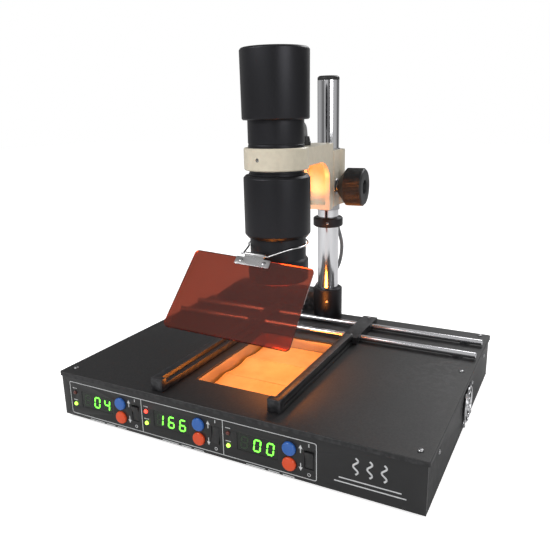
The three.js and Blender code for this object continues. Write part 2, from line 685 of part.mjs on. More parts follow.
// The sleeve slides on the column; the block turns on the sleeve. An ear behind it holds the lamp's lead.
function armSleeve() {
  const bore = COLUMN_RADIUS + GAP;
  const top = BLOCK_TOP + 1.5;
  const tube = turned([[bore, SLEEVE_BOTTOM], [SLEEVE_RADIUS, SLEEVE_BOTTOM], [SLEEVE_RADIUS, top],
    [bore, top]]);
  const centre = [0, LEAD_CLIP_Y];
  const ear = joined([
    box(-5, 5, bore + 0.5, LEAD_CLIP_Y, SLEEVE_BOTTOM, SLEEVE_BOTTOM + 6),
    rod('z', LEAD_RADIUS + 3, SLEEVE_BOTTOM, SLEEVE_BOTTOM + 6, centre),
  ]);
  const hole = rod('z', LEAD_HOLE + 0.1, SLEEVE_BOTTOM - 5, SLEEVE_BOTTOM + 15, centre, 12);
  return tube.add(ear).subtract(hole);
}

// Section of the focusing slide's dovetail, widened all round by the clearance.
function dovetail(clearance, depth) {
  const start = PLATE_BACK - 1;
  const slope = (TONGUE_ROOT - TONGUE_MOUTH) / (TONGUE_DEPTH + 1);
  const mouth = TONGUE_MOUTH + clearance;
  const root = mouth + slope * (depth + 1);
  return outline([[-mouth, start], [mouth, start], [root, PLATE_BACK + depth], [-root, PLATE_BACK + depth]]);
}

function columnBlock() {
  let block = rod('z', BLOCK_BOSS, BLOCK_BOTTOM, BLOCK_TOP, [0, 0], 24);
  block = block.add(box(-BLOCK_HALF_WIDTH, BLOCK_HALF_WIDTH, BLOCK_FRONT, 0, BLOCK_BOTTOM, BLOCK_TOP));
  block = block.subtract(rod('z', SLEEVE_RADIUS + GAP, BLOCK_BOTTOM - 5, BLOCK_TOP + 5, [0, 0], 24));
  const groove = dovetail(GAP + 0.1, TONGUE_DEPTH + 1.2);
  block = block.subtract(pushed('z', groove, BLOCK_BOTTOM - 5, BLOCK_TOP + 5));
  const rackRoom = RACK_FACE + TOOTH_HEIGHT + GAP;
  block = block.subtract(box(-5, 5, BLOCK_FRONT, rackRoom, BLOCK_BOTTOM - 5, BLOCK_TOP + 5));
  block = block.subtract(rod('x', SHAFT_RADIUS + GAP, -FAR, FAR, [PINION_Y, FOCUS_Z], 24));
  block = block.subtract(rod('x', GEAR_PITCH_RADIUS + TOOTH_HEIGHT, -9, 9, [PINION_Y, FOCUS_Z], 24));
  return block.subtract(rod('y', CLAMP_SCREW + GAP, SLEEVE_RADIUS - 2, FAR, [0, CLAMP_Z]));
}

function clampKnob() {
  const start = BLOCK_BOSS - SLEEVE_RADIUS;
  const end = start + CLAMP_LENGTH;
  const knob = turned([[0, 0], [CLAMP_SCREW, 0], [CLAMP_SCREW, start], [7, start + 1],
    [CLAMP_KNOB, start + 3], [CLAMP_KNOB, end - 2], [CLAMP_KNOB - 1.5, end], [0, end]]);
  return knob.rotate([-90, 0, 0]).translate([0, SLEEVE_RADIUS + 0.4, CLAMP_Z]);
}

function gearTooth(height, base, tip) {
  return outline([[-base / 2, -0.4], [base / 2, -0.4], [base / 2, 0], [tip / 2, height], [-tip / 2, height],
    [-base / 2, 0]]);
}

// The shaft carries the pinion between its bearings; a tooth points at the rack's gap at rest.
function pinionShaft() {
  const rootRadius = GEAR_PITCH_RADIUS - TOOTH_HEIGHT / 2;
  const tooth = pushed('x', gearTooth(TOOTH_HEIGHT, TOOTH_BASE, TOOTH_TIP), -5, 5);
  const outermost = tooth.rotate([90, 0, 0]).translate([0, -rootRadius, 0]);
  let shaft = rod('x', SHAFT_RADIUS, -KNOB_OUTER + 8, KNOB_OUTER - 8, [0, 0], 24);
  for (let i = 0; i < GEAR_TEETH; i += 1) {
    shaft = shaft.add(outermost.rotate([i * 360 / GEAR_TEETH, 0, 0]));
  }
  return shaft.translate([0, PINION_Y, FOCUS_Z]);
}

function focusRack() {
  const [bottom, top] = [FOCUS_Z - RACK_HALF_LENGTH, FOCUS_Z + RACK_HALF_LENGTH];
  const pitch = Math.PI * GEAR_MODULE;
  let rack = box(-RACK_HALF_WIDTH, RACK_HALF_WIDTH, RACK_FACE - RACK_BED, RACK_FACE, bottom, top);
  const first = Math.ceil((bottom + 1 - FOCUS_Z) / pitch - 0.5);
  const last = Math.floor((top - 1 - FOCUS_Z) / pitch - 0.5);
  for (let i = first; i <= last; i += 1) {
    const z = FOCUS_Z + (i + 0.5) * pitch;
    const tooth = outline([[RACK_FACE - 0.4, z - TOOTH_BASE / 2], [RACK_FACE, z - TOOTH_BASE / 2],
      [RACK_FACE + TOOTH_HEIGHT, z - TOOTH_TIP / 2], [RACK_FACE + TOOTH_HEIGHT, z + TOOTH_TIP / 2],
      [RACK_FACE, z + TOOTH_BASE / 2], [RACK_FACE - 0.4, z + TOOTH_BASE / 2]]);
    rack = rack.add(pushed('x', tooth, -RACK_HALF_WIDTH, RACK_HALF_WIDTH));
  }
  return rack;
}

// Profile from the shaft outwards: cone, knurled barrel, dished end.
function focusKnob(side) {
  const [inner, outer] = [KNOB_INNER, KNOB_OUTER];
  const bore = SHAFT_RADIUS + GAP;
  const knob = turned([[bore, inner], [11, inner], [24.5, inner + 10], [KNOB_RADIUS, inner + 12],
    [KNOB_RADIUS, outer - 1.5], [KNOB_RADIUS - 1.5, outer], [10.5, outer], [9.5, outer - 7],
    [bore, outer - 7]]);
  const flat = knob.rotate([0, 90, 0]);
  return (side > 0 ? flat : flat.rotate([0, 0, 180])).translate([0, PINION_Y, FOCUS_Z]);
}

// ---------------------------------------------------------------- lamp
function lampCarrier() {
  const ringCentre = [0, -ARM_REACH];
  const side = new THREE.Shape();
  side.moveTo(PLATE_BACK, PLATE_BOTTOM);
  side.lineTo(PLATE_BACK, PLATE_TOP);
  side.lineTo(-ARM_REACH + 20, PLATE_TOP);
  side.lineTo(-ARM_REACH + 20, BRIDGE_UNDERSIDE);
  side.lineTo(PLATE_FRONT - ARCH_RADIUS * 1.6, BRIDGE_UNDERSIDE);
  side.quadraticCurveTo(PLATE_FRONT, BRIDGE_UNDERSIDE - 4,
    PLATE_FRONT, BRIDGE_UNDERSIDE - ARCH_RADIUS * 1.4);
  side.lineTo(PLATE_FRONT, PLATE_BOTTOM);
  let arm = pushed('x', side, -PLATE_HALF_WIDTH, PLATE_HALF_WIDTH);
  const pocket = PLATE_HALF_WIDTH - CHEEK;
  arm = arm.subtract(box(-pocket, pocket, -ARM_REACH, PLATE_FRONT + 6, PLATE_BOTTOM + 6.5, PLATE_TOP - 8));
  arm = arm.add(rod('z', RING_RADIUS, RING_BOTTOM, RING_TOP, ringCentre, 24));
  arm = arm.add(pushed('z', dovetail(0, TONGUE_DEPTH), PLATE_BOTTOM, PLATE_TOP));
  const rackBed = RACK_FACE - RACK_BED - GAP;
  const rackHalf = RACK_HALF_WIDTH + GAP;
  arm = arm.subtract(box(-rackHalf, rackHalf, rackBed, rackBed + 20, PLATE_BOTTOM - 5, PLATE_TOP + 5));
  arm = arm.subtract(rod('z', BARREL_RADIUS + GAP, RING_BOTTOM - 30, RING_TOP + 5, ringCentre, 24));
  const screwHole = rod('y', 2.4, -60, -30, [0, 0], 12).rotate([0, 0, -12]);
  arm = arm.subtract(screwHole.translate([0, -ARM_REACH, (RING_BOTTOM + RING_TOP) / 2]));
  return arm.subtract(rod('z', LEAD_HOLE, PLATE_TOP - 20, PLATE_TOP + 5, [0, GLAND_Y], 12));
}

// The lead's gland on top of the bridge.
function lampGland() {
  const [foot, bore] = [PLATE_TOP + GAP, LEAD_HOLE];
  const nut = turned([[bore, foot], [GLAND_RADIUS, foot], [GLAND_RADIUS, foot + 6.5],
    [GLAND_RADIUS - 2, GLAND_TOP], [bore, GLAND_TOP]], 12);
  return nut.translate([0, GLAND_Y, 0]);
}

function lampCap() {
  const [top, bottom, shell] = [CAP_RADIUS_TOP, CAP_RADIUS_BOTTOM, 2.5];
  const neck = BARREL_RADIUS + GAP;
  return turned([[0, LAMP_CAP_TOP - shell], [top - shell, LAMP_CAP_TOP - shell],
    [bottom - shell, LAMP_CAP_BOTTOM + 4], [neck, LAMP_CAP_BOTTOM + 4], [neck, LAMP_CAP_BOTTOM],
    [bottom - 1.5, LAMP_CAP_BOTTOM], [bottom, LAMP_CAP_BOTTOM + 1.5], [top, LAMP_CAP_TOP - 2],
    [top - 2, LAMP_CAP_TOP], [0, LAMP_CAP_TOP]]);
}

function lampBarrel() {
  const inner = BARREL_RADIUS - 2.2;
  const tube = turned([[inner, BARREL_BOTTOM], [BARREL_RADIUS, BARREL_BOTTOM], [BARREL_RADIUS, BARREL_TOP],
    [inner, BARREL_TOP]]);
  return tube.subtract(rod('y', LEAD_RADIUS + GAP, 20, 50, [0, LEAD_EXIT_Z], 12));
}

function lampBody() {
  const [outer, inner] = [LAMP_BODY_RADIUS, LAMP_BODY_RADIUS - 3];
  const [bottom, top] = [LAMP_BODY_BOTTOM, LAMP_BODY_TOP];
  return turned([[NECK_RADIUS + GAP, bottom], [outer - 3.5, bottom], [outer, bottom + 4.5], [outer, top - 3],
    [outer - 3, top], [BARREL_RADIUS + GAP, top], [BARREL_RADIUS + GAP, top - 4], [inner, top - 4],
    [inner, bottom + 5], [NECK_RADIUS + GAP, bottom + 5]]);
}

function lampNozzle() {
  const wall = NECK_RADIUS - TUBE_WALL;
  return turned([[NOZZLE_MOUTH, NOZZLE_BOTTOM], [NOZZLE_RADIUS - 1, NOZZLE_BOTTOM],
    [NOZZLE_RADIUS, NOZZLE_BOTTOM + 1], [NOZZLE_RADIUS, NOZZLE_TOP - 3], [NOZZLE_RADIUS - 2.4, NOZZLE_TOP],
    [NECK_RADIUS, NOZZLE_TOP], [NECK_RADIUS, NECK_TOP], [wall, NECK_TOP], [wall, LENS_Z - 6],
    [NOZZLE_MOUTH + 2, LENS_Z - 6], [NOZZLE_MOUTH, NOZZLE_BOTTOM + 6]]);
}

function lampLens() {
  const edge = NECK_RADIUS - TUBE_WALL - GAP;
  return turned([[0, LENS_Z - 5.7], [edge, LENS_Z - 5.7], [edge, LENS_Z - 2], [edge * 0.75, LENS_Z + 2],
    [edge * 0.4, LENS_Z + 4.6], [0, LENS_Z + 5.6]]);
}

// A bowl reflector hung under the barrel, with the bulb's neck through its middle.
function lampReflector() {
  const z = REFLECTOR_Z;
  return turned([[29, z], [30.5, z], [25.5, z + 16], [18, z + 29], [9.5, z + 36], [8, z + 36], [8, z + 34],
    [16.5, z + 27.5], [24, z + 15]]);
}

function lampBulb() {
  const z = REFLECTOR_Z + 10;
  return turned([[0, z], [4, z + 1.5], [6, z + 6], [6, z + 21], [6.8, z + 23], [6.8, z + 38], [14, z + 40],
    [14, z + 60], [0, z + 60]]);
}

function leadTop() {
  const neck = -ARM_REACH + BARREL_RADIUS;
  return swept([[0, neck - 3, LEAD_EXIT_Z], [0, neck + 6, LEAD_EXIT_Z], [0, neck + 26, LEAD_EXIT_Z + 7],
    [0, neck + 50, LEAD_EXIT_Z + 9], [0, GLAND_Y - 4, LEAD_EXIT_Z + 4], [0, GLAND_Y, GLAND_TOP + 2],
    [0, GLAND_Y, GLAND_TOP - 5], [0, GLAND_Y, PLATE_TOP - 12]], LEAD_RADIUS, 16);
}

// The lead hangs behind the column from the sleeve's ear to the grommet in the rear box.
function leadDrop(from) {
  const end = new THREE.Vector3(LEAD_BASE_X, LEAD_BASE_Y, REAR_BOX.top - 6);
  return swept([[from.x, from.y, SLEEVE_BOTTOM + 9], [from.x, from.y, SLEEVE_BOTTOM - 6],
    [from.x + 6, from.y + 3, 205], [from.x + 12, from.y + 7, 170], [from.x + 2, from.y + 10, 132],
    [end.x + 8, end.y, 108], [end.x, end.y, 98], end.toArray()], LEAD_RADIUS, 20);
}

// ---------------------------------------------------------------- eye shield
function shieldPlate() {
  const half = SHIELD_WIDTH / 2;
  const shape = roundedRectangle(-half, half, SHIELD_TOP - SHIELD_HEIGHT, SHIELD_TOP, 5);
  let plate = pushed('y', shape, 0.2, 0.2 + SHIELD_SHEET);
  for (const x of [-RIVET_X, RIVET_X]) {
    plate = plate.subtract(rod('y', 1.9, -5, 10, [x, RIVET_Z], 12));
  }
  return plate;
}

// Clip leaf, rolled hinge barrel and its two rivets, which hold the plate.
function shieldClip() {
  const [back, face] = [-0.1 - CLIP_LEAF, -0.1];
  let clip = box(-CLIP_HALF, CLIP_HALF, back, face, CLIP_BOTTOM, SHIELD_TOP + 0.5);
  clip = clip.add(box(-HINGE_HALF, HINGE_HALF, back, face, SHIELD_TOP, 0));
  clip = clip.add(rod('x', 2.6, -HINGE_HALF, HINGE_HALF));
  for (const x of [-RIVET_X, RIVET_X]) {
    clip = clip.add(rod('y', 1.5, -1.5, SHIELD_SHEET + 1, [x, RIVET_Z], 12));
    clip = clip.add(rod('y', 2.8, -1.9, -0.9, [x, RIVET_Z], 12));
    clip = clip.add(rod('y', 2.8, SHIELD_SHEET + 0.5, SHIELD_SHEET + 1.5, [x, RIVET_Z], 12));
  }
  return clip.subtract(rod('x', WIRE_RADIUS + 0.4, -HINGE_HALF - 5, HINGE_HALF + 5, [0, 0], 12));
}

const hinge = new THREE.Group();
hinge.position.copy(HINGE);
hinge.rotation.set(HINGE_PITCH, HINGE_ROLL, HINGE_YAW, 'ZYX');
hinge.updateMatrixWorld();

function alongHinge(distance) {
  return new THREE.Vector3(distance, 0, 0).applyMatrix4(hinge.matrixWorld).toArray();
}

// One length of spring wire: through the hinge barrel and clipped round the nozzle's neck.
function shieldWire(lamp) {
  const pin = swept([alongHinge(-HINGE_HALF - 6.6), alongHinge(HINGE_HALF + 5)], WIRE_RADIUS, 1);
  const loop = [alongHinge(HINGE_HALF + 3.2)];
  for (const turn of WIRE_ANGLES) {
    const angle = THREE.MathUtils.degToRad(turn);
    loop.push([lamp.x + WIRE_RING_RADIUS * Math.cos(angle), lamp.y + WIRE_RING_RADIUS * Math.sin(angle),
      WIRE_RING_Z + WIRE_RISE * Math.sin(angle)]);
  }
  loop.push(alongHinge(-HINGE_HALF - 3.2));
  return swept(loop, WIRE_RADIUS, 36, 6).add(pin);
}

// ---------------------------------------------------------------- assembly
place('base_tray', baseTray(), blackPaint);
place('front_panel', frontPanel(), panelBlack);
place('lid', lidSheet(), blackPaint);
place('heater_well', heaterWell(), brushedSteel);
emitterCentres().forEach((y, i) => {
  place(`heater_emitter_${i + 1}`, emitter().translate([0, y, 0]), ceramic);
});
place('control_board', controlBoard(), boardGreen);
place('display_board', displayBoard(), boardGreen);
place('transformer', transformer(), copperCoil);
place('fan_housing', fanHousing(), blackPlastic);
place('fan_rotor', fanRotor(), blackPlastic);
place('fan_guard', fanGuard(), polishedSteel);
place('mains_inlet', mainsInlet(), blackPlastic);
place('iron_socket', ironSocket(), brushedSteel);
place('rear_box', rearBox(), blackPaint);
place('column_socket', columnSocket().translate([COLUMN_X, COLUMN_Y, 0]), blackAnodised);

[[-1, -1], [1, -1], [-1, 1], [1, 1]].forEach(([x, y], i) => {
  place(`foot_${i + 1}`, foot(x * FOOT_X, y * FOOT_Y), rubber);
});

MODULES.forEach((x, i) => {
  place(`up_button_${i + 1}`, buttonCap(x + BUTTON_X, BUTTON_UP_Z), blueCap);
  place(`down_button_${i + 1}`, buttonCap(x + BUTTON_X, BUTTON_DOWN_Z), orangeCap);
  const rocker = place(`rocker_${i + 1}`, rockerCap(), blackPlastic);
  rocker.position.set(x + ROCKER_X, PANEL_FRONT + ROCKER_PIVOT, ROCKER_Z);
  rocker.rotation.x = ROCKER_STATES[i] * ROCKER_TILT;
});

for (const [name, y] of [['front_rail', RAIL_FRONT_Y], ['rear_rail', RAIL_REAR_Y]]) {
  place(name, rod('x', RAIL_RADIUS, -RAIL_HALF_LENGTH, RAIL_HALF_LENGTH, [y, RAIL_Z]), polishedSteel);
}
for (const side of Object.keys(HOLDERS)) {
  place(`${side}_slider`, slider(side), blackAnodised);
  place(`${side}_holder_arm`, holderArm(side), blackAnodised);
}

const column = new THREE.Group();
column.position.set(COLUMN_X, COLUMN_Y, 0);
station.add(column);
place('column', columnTube(), polishedSteel, column);
place('column_cap', columnCap(), blackPlastic, column);
place('stop_collar', stopCollar(), blackAnodised, column);

const arm = new THREE.Group();
arm.rotation.z = ARM_YAW;
column.add(arm);
place('arm_sleeve', armSleeve(), brushedSteel, arm);
place('column_block', columnBlock(), creamPaint, arm);
place('arm_clamp_knob', clampKnob(), blackPlastic, arm);
place('pinion_shaft', pinionShaft(), polishedSteel, arm);
place('right_focus_knob', focusKnob(1), blackPlastic, arm);
place('left_focus_knob', focusKnob(-1), blackPlastic, arm);
place('lamp_carrier', lampCarrier(), creamPaint, arm);
place('focus_rack', focusRack(), brushedSteel, arm);
place('lamp_gland', lampGland(), blackPlastic, arm);
place('lamp_lead_top', leadTop(), greyLead, arm);

const lamp = new THREE.Group();
lamp.position.set(0, -ARM_REACH, 0);
arm.add(lamp);
place('lamp_cap', lampCap(), blackAnodised, lamp);
place('lamp_barrel', lampBarrel(), blackAnodised, lamp);
place('lamp_body', lampBody(), blackAnodised, lamp);
place('lamp_nozzle', lampNozzle(), blackAnodised, lamp);
place('lamp_lens', lampLens(), clearGlass, lamp);
place('lamp_reflector', lampReflector(), polishedSteel, lamp);
place('lamp_bulb', lampBulb(), clearGlass, lamp);

const lampAxis = new THREE.Vector3(0, -ARM_REACH, 0).applyAxisAngle(Z_AXIS, ARM_YAW).add(column.position);
const leadClip = new THREE.Vector3(0, LEAD_CLIP_Y, 0).applyAxisAngle(Z_AXIS, ARM_YAW).add(column.position);
place('lamp_lead_drop', leadDrop(leadClip), greyLead);
place('shield_wire', shieldWire(lampAxis), polishedSteel);

station.add(hinge);
place('shield_clip', shieldClip(), brushedSteel, hinge);
place('shield_plate', shieldPlate(), tintedSheet, hinge);

export default station;
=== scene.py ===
"""Infrared rework station: smooth pieces, finishes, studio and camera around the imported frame."""

import json
import math

import bmesh
import bpy
from bpy.props import FloatProperty, FloatVectorProperty, IntProperty, PointerProperty
from mathutils import Matrix, Vector


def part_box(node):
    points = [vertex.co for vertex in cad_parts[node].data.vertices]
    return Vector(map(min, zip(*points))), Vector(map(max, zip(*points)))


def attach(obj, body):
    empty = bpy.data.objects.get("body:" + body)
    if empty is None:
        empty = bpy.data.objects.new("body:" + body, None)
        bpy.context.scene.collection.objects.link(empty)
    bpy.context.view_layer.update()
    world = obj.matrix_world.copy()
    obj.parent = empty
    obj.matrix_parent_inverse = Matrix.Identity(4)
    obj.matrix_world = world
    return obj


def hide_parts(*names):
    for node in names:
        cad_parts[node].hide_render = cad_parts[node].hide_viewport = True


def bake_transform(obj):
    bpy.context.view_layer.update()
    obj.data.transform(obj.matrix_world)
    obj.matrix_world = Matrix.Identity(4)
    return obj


bl_info = {
    "name": "Rework Station Maker",
    "version": (1, 0, 0),
    "blender": (4, 5, 0),
    "location": "View3D > Sidebar > Station",
    "description": "Builds the pieces, finishes and studio of an infrared rework station",
    "category": "Object",
}

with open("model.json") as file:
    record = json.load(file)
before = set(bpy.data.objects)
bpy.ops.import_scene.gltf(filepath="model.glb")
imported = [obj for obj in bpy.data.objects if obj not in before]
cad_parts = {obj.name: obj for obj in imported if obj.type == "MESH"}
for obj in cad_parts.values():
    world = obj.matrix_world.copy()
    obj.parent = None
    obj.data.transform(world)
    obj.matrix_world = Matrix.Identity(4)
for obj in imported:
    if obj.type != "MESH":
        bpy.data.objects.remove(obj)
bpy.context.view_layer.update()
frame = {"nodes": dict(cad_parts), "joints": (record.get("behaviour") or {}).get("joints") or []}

MILLIMETRE = 0.001
ROUND = 96
SMOOTH_ANGLE = math.radians(32)
IDENTITY = Matrix.Identity(4)
ALONG_X = Matrix.Rotation(math.radians(90), 4, "Y")
ALONG_Y = Matrix.Rotation(math.radians(-90), 4, "X")
TOWARDS_FRONT = Matrix.Rotation(math.radians(90), 4, "X")
UP = Vector((0, 0, 1))
RIGHT = Vector((1, 0, 0))
MODULES = (1, 2, 3)
READINGS = {1: " 04", 2: "166", 3: " 00"}
SEGMENTS = {"0": "abcdef", "1": "bc", "4": "bcfg", "6": "acdefg", " ": ""}


# ------------------------------------------------------------------ places from the frame
def span(node):
    """Lowest and highest corners of a node, in millimetres."""
    low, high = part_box(node)
    return low / MILLIMETRE, high / MILLIMETRE


def middle(node):
    """Middle of a node's box, in millimetres."""
    low, high = span(node)
    return (low + high) / 2


def joint_named(name):
    """The frame's joint of that name."""
    return next(joint for joint in frame["joints"] if joint["name"] == name)


COLUMN = middle("column")
LAMP = middle("lamp_body")
ARM_REACH = math.hypot(LAMP.x - COLUMN.x, LAMP.y - COLUMN.y)
ARM_YAW = math.atan2(LAMP.x - COLUMN.x, COLUMN.y - LAMP.y)
ARM = Matrix.Translation((COLUMN.x, COLUMN.y, 0)) @ Matrix.Rotation(ARM_YAW, 4, "Z")
LAMP_PLACE = Matrix.Translation((LAMP.x, LAMP.y, 0))
COLUMN_PLACE = Matrix.Translation((COLUMN.x, COLUMN.y, 0))
FOCUS = Vector(joint_named("focus_knob_turn")["pos_m"]) / MILLIMETRE
PINION = ARM.inverted() @ FOCUS
PANEL_FACE = span("front_panel")[0].y
LID_TOP = 66.0
SHIELD_HINGE = Vector(joint_named("shield_tilt")["pos_m"]) / MILLIMETRE
SHIELD_LEAN = math.radians(-49.2)
PINION_SPOT = Matrix.Translation((0, PINION.y, PINION.z))
PINION_PLACE = ARM @ PINION_SPOT

# Shared by more than one piece, in millimetres; in ARM the lamp lies along -Y from the column
COLUMN_RADIUS = 16.0
COLUMN_BORE = 16.3
SOCKET_RADIUS = 22.4
COLLAR_RADIUS = 22.7
BARREL_RADIUS = 33.7
LEAD_RADIUS = 2.8
GLAND_Y = -98.0
EAR_Y = 27.0
SLIDE_BACK = -38.3
SLIDE_FACE = -54.0
LEAD_EXIT_Z = 363.0
RING_SCREW = Matrix.Translation((0, -ARM_REACH, 333)) @ Matrix.Rotation(math.radians(-12), 4, "Z")


# ------------------------------------------------------------------ sizes and colours that can be changed
class StationSizes(bpy.types.PropertyGroup):
    """Sizes of the small details."""

    edge_radius: FloatProperty(name="Edge radius", description="Rounding of sheet and block edges",
                               default=0.0005, unit="LENGTH")
    knurl_ribs: IntProperty(name="Knurl ribs", description="Ribs round each focusing knob", default=84)
    rib_width: FloatProperty(name="Rib width", description="Width of one rib of the knurl",
                             default=0.0012, unit="LENGTH")
    screw_radius: FloatProperty(name="Screw head radius", description="Radius of a lid screw's head",
                                default=0.0031, unit="LENGTH")
    digit_slant: FloatProperty(name="Digit slant", description="Lean of the display digits",
                               default=math.radians(7), unit="ROTATION")
    line_width: FloatProperty(name="Print line", description="Width of the printed panel lines",
                              default=0.0008, unit="LENGTH")


class StationColours(bpy.types.PropertyGroup):
    """Colours of the finishes."""

    black: FloatVectorProperty(name="Black coat", description="Powder coat of the base", subtype="COLOR",
                               default=(0.008, 0.008, 0.009), unit="NONE")
    cream: FloatVectorProperty(name="Cream enamel", description="Enamel of the arm castings",
                               subtype="COLOR", default=(0.74, 0.67, 0.53), unit="NONE")
    shield: FloatVectorProperty(name="Shield tint", description="Tint of the eye shield", subtype="COLOR",
                                default=(0.36, 0.06, 0.028), unit="NONE")
    digit: FloatVectorProperty(name="Digit light", description="Light of the display digits",
                               subtype="COLOR", default=(0.16, 1.0, 0.05), unit="NONE")
    glow: FloatVectorProperty(name="Heat glow", description="Light of the lamp and emitters",
                              subtype="COLOR", default=(1.0, 0.27, 0.03), unit="NONE")
    blue: FloatVectorProperty(name="Blue button", description="Caps of the upper buttons", subtype="COLOR",
                              default=(0.02, 0.12, 0.42), unit="NONE")
    orange: FloatVectorProperty(name="Orange button", description="Caps of the lower buttons",
                                subtype="COLOR", default=(0.78, 0.10, 0.025), unit="NONE")


class StationStudio(bpy.types.PropertyGroup):
    """Camera and lights."""

    place: FloatVectorProperty(name="Camera place", description="Where the camera stands",
                               subtype="TRANSLATION", default=(0.34535, -0.69515, 0.38737), unit="LENGTH")
    azimuth: FloatProperty(name="Azimuth", description="Turn of the view from straight ahead",
                           default=math.radians(27.97), unit="ROTATION")
    elevation: FloatProperty(name="Elevation", description="How far the view looks down",
                             default=math.radians(15.41), unit="ROTATION")
    roll: FloatProperty(name="Roll", description="Tilt of the picture", default=math.radians(-1.217),
                        unit="ROTATION")
    lens: FloatProperty(name="Lens", description="Focal length in millimetres on a 36 mm sensor",
                        default=38.93, unit="CAMERA")
    lamp_power: FloatProperty(name="Lamp power", description="Power of the lamp's beam", default=2.0,
                              unit="POWER")
    studio_power: FloatProperty(name="Studio power", description="Power of the key light", default=22.0,
                                unit="POWER")


def sizes():
    return bpy.context.scene.station_sizes


def colours():
    return bpy.context.scene.station_colours


def studio():
    return bpy.context.scene.station_studio


# ------------------------------------------------------------------ shapes, in millimetres
def around(count):
    """Angles that share out a full turn."""
    return [2 * math.pi * k / count for k in range(count)]


def eased(points, radius, closed, steps=3):
    """The outline with each corner turned into a short curve."""
    points = [Vector(p) for p in points]
    out = []
    for i, corner in enumerate(points):
        if not closed and i in (0, len(points) - 1):
            out.append(corner)
            continue
        before = points[i - 1] - corner
        after = points[(i + 1) % len(points)] - corner
        if before.angle(-after, 0) < math.radians(3):
            out.append(corner)
            continue
        cut = min(radius, 0.45 * before.length, 0.45 * after.length)
        start = corner + before.normalized() * cut
        end = corner + after.normalized() * cut
        for k in range(steps + 1):
            t = k / steps
            out.append(start * (1 - t) ** 2 + corner * 2 * t * (1 - t) + end * t * t)
    return out


def turned(profile, soft=0.5, sides=ROUND):
    """A closed shape turned about Z from [radius, height] points; a ring's profile closes on itself."""
    ring = profile[0][0] > 0
    points = eased(profile, soft, ring) if soft else profile
    shape = bmesh.new()
    rows = []
    for radius, height in points:
        if radius < 1e-6:
            rows.append([shape.verts.new((0, 0, height))])
            continue
        rows.append([shape.verts.new((radius * math.cos(a), radius * math.sin(a), height))
                     for a in around(sides)])
    pairs = list(zip(rows, rows[1:]))
    if ring:
        pairs.append((rows[-1], rows[0]))
    for lower, upper in pairs:
        for k in range(sides):
            n = (k + 1) % sides
            corners = [lower[k % len(lower)], lower[n % len(lower)], upper[n % len(upper)],
                       upper[k % len(upper)]]
            unique = list(dict.fromkeys(corners))
            if len(unique) > 2:
                shape.faces.new(unique)
    bmesh.ops.recalc_face_normals(shape, faces=shape.faces)
    return shape


def prism(outline, low, high, axis="z"):
    """An outline pushed along an axis; it lies in the other two axes, taken in order."""
    shape = bmesh.new()
    order = {"x": (2, 0, 1), "y": (0, 2, 1), "z": (0, 1, 2)}[axis]

    def corner(point, depth):
        values = (point[0], point[1], depth)
        return shape.verts.new(tuple(values[k] for k in order))

    bottom = [corner(p, low) for p in outline]
    top = [corner(p, high) for p in outline]
    shape.faces.new(bottom)
    shape.faces.new(top)
    for k in range(len(outline)):
        n = (k + 1) % len(outline)
        shape.faces.new((bottom[k], bottom[n], top[n], top[k]))
    bmesh.ops.recalc_face_normals(shape, faces=shape.faces)
    return shape


def block(x0, x1, y0, y1, z0, z1):
    return prism([(x0, y0), (x1, y0), (x1, y1), (x0, y1)], z0, z1)


def bar(radius, low, high, sides=64):
    """A plain round cutter along Z."""
    return turned([(0, low), (radius, low), (radius, high), (0, high)], 0, sides)


def moved(shape, matrix):
    bmesh.ops.transform(shape, matrix=matrix, verts=shape.verts)
    return shape


def round_corners(x0, x1, y0, y1, radius, steps=6):
    """A rectangle with round corners, as points."""
    return eased([(x0, y0), (x1, y0), (x1, y1), (x0, y1)], radius, True, steps)


def merged(shapes):
    """Several shapes in one mesh, left as they are."""
    whole = bmesh.new()
    for shape in shapes:
        mesh = mesh_of(shape, "part")
        whole.from_mesh(mesh)
        bpy.data.meshes.remove(mesh)
    return whole


def linked(name, data):
    """A new object in the scene."""
    obj = bpy.data.objects.new(name, data)
    bpy.context.scene.collection.objects.link(obj)
    return obj


def mesh_of(shape, name):
    """The shape as a mesh; the shape itself is used up."""
    mesh = bpy.data.meshes.new(name)
    shape.to_mesh(mesh)
    shape.free()
    return mesh


def holder(shape, name="work"):
    """A working object for modifiers."""
    return linked(name, mesh_of(shape, name))


def evaluated(obj):
    """The object's mesh with its modifiers in it."""
    bpy.context.view_layer.update()
    graph = bpy.context.evaluated_depsgraph_get()
    return bpy.data.meshes.new_from_object(obj.evaluated_get(graph))


def dropped(*objects):
    for obj in objects:
        bpy.data.objects.remove(obj)


def carved(base, add=(), cut=(), edge=0.5, segments=2):
    """A shape with others joined to it and cut from it, and its sharp edges rounded."""
    work = holder(base)
    tools = []
    for operation, shapes in (("UNION", add), ("DIFFERENCE", cut)):
        for shape in shapes:
            tool = holder(shape, "tool")
            tools.append(tool)
            modifier = work.modifiers.new("carve", "BOOLEAN")
            modifier.operation = operation
            modifier.solver = "EXACT"
            modifier.object = tool
    if edge:
        bevel = work.modifiers.new("edges", "BEVEL")
        bevel.width = edge
        bevel.segments = segments
        bevel.limit_method = "ANGLE"
        bevel.angle_limit = math.radians(40)
        bevel.use_clamp_overlap = True
    mesh = evaluated(work)
    dropped(work, *tools)
    shape = bmesh.new()
    shape.from_mesh(mesh)
    bpy.data.meshes.remove(mesh)
    return shape


def softened(node):
    """The frame's own shape with its sharp edges rounded."""
    shape = bmesh.new()
    shape.from_mesh(frame["nodes"][node].data)
    bmesh.ops.remove_doubles(shape, verts=shape.verts, dist=1e-6)
    bmesh.ops.transform(shape, matrix=Matrix.Scale(1 / MILLIMETRE, 4), verts=shape.verts)
    bmesh.ops.dissolve_limit(shape, angle_limit=math.radians(1), verts=shape.verts, edges=shape.edges)
    return carved(shape, edge=sizes().edge_radius / MILLIMETRE)


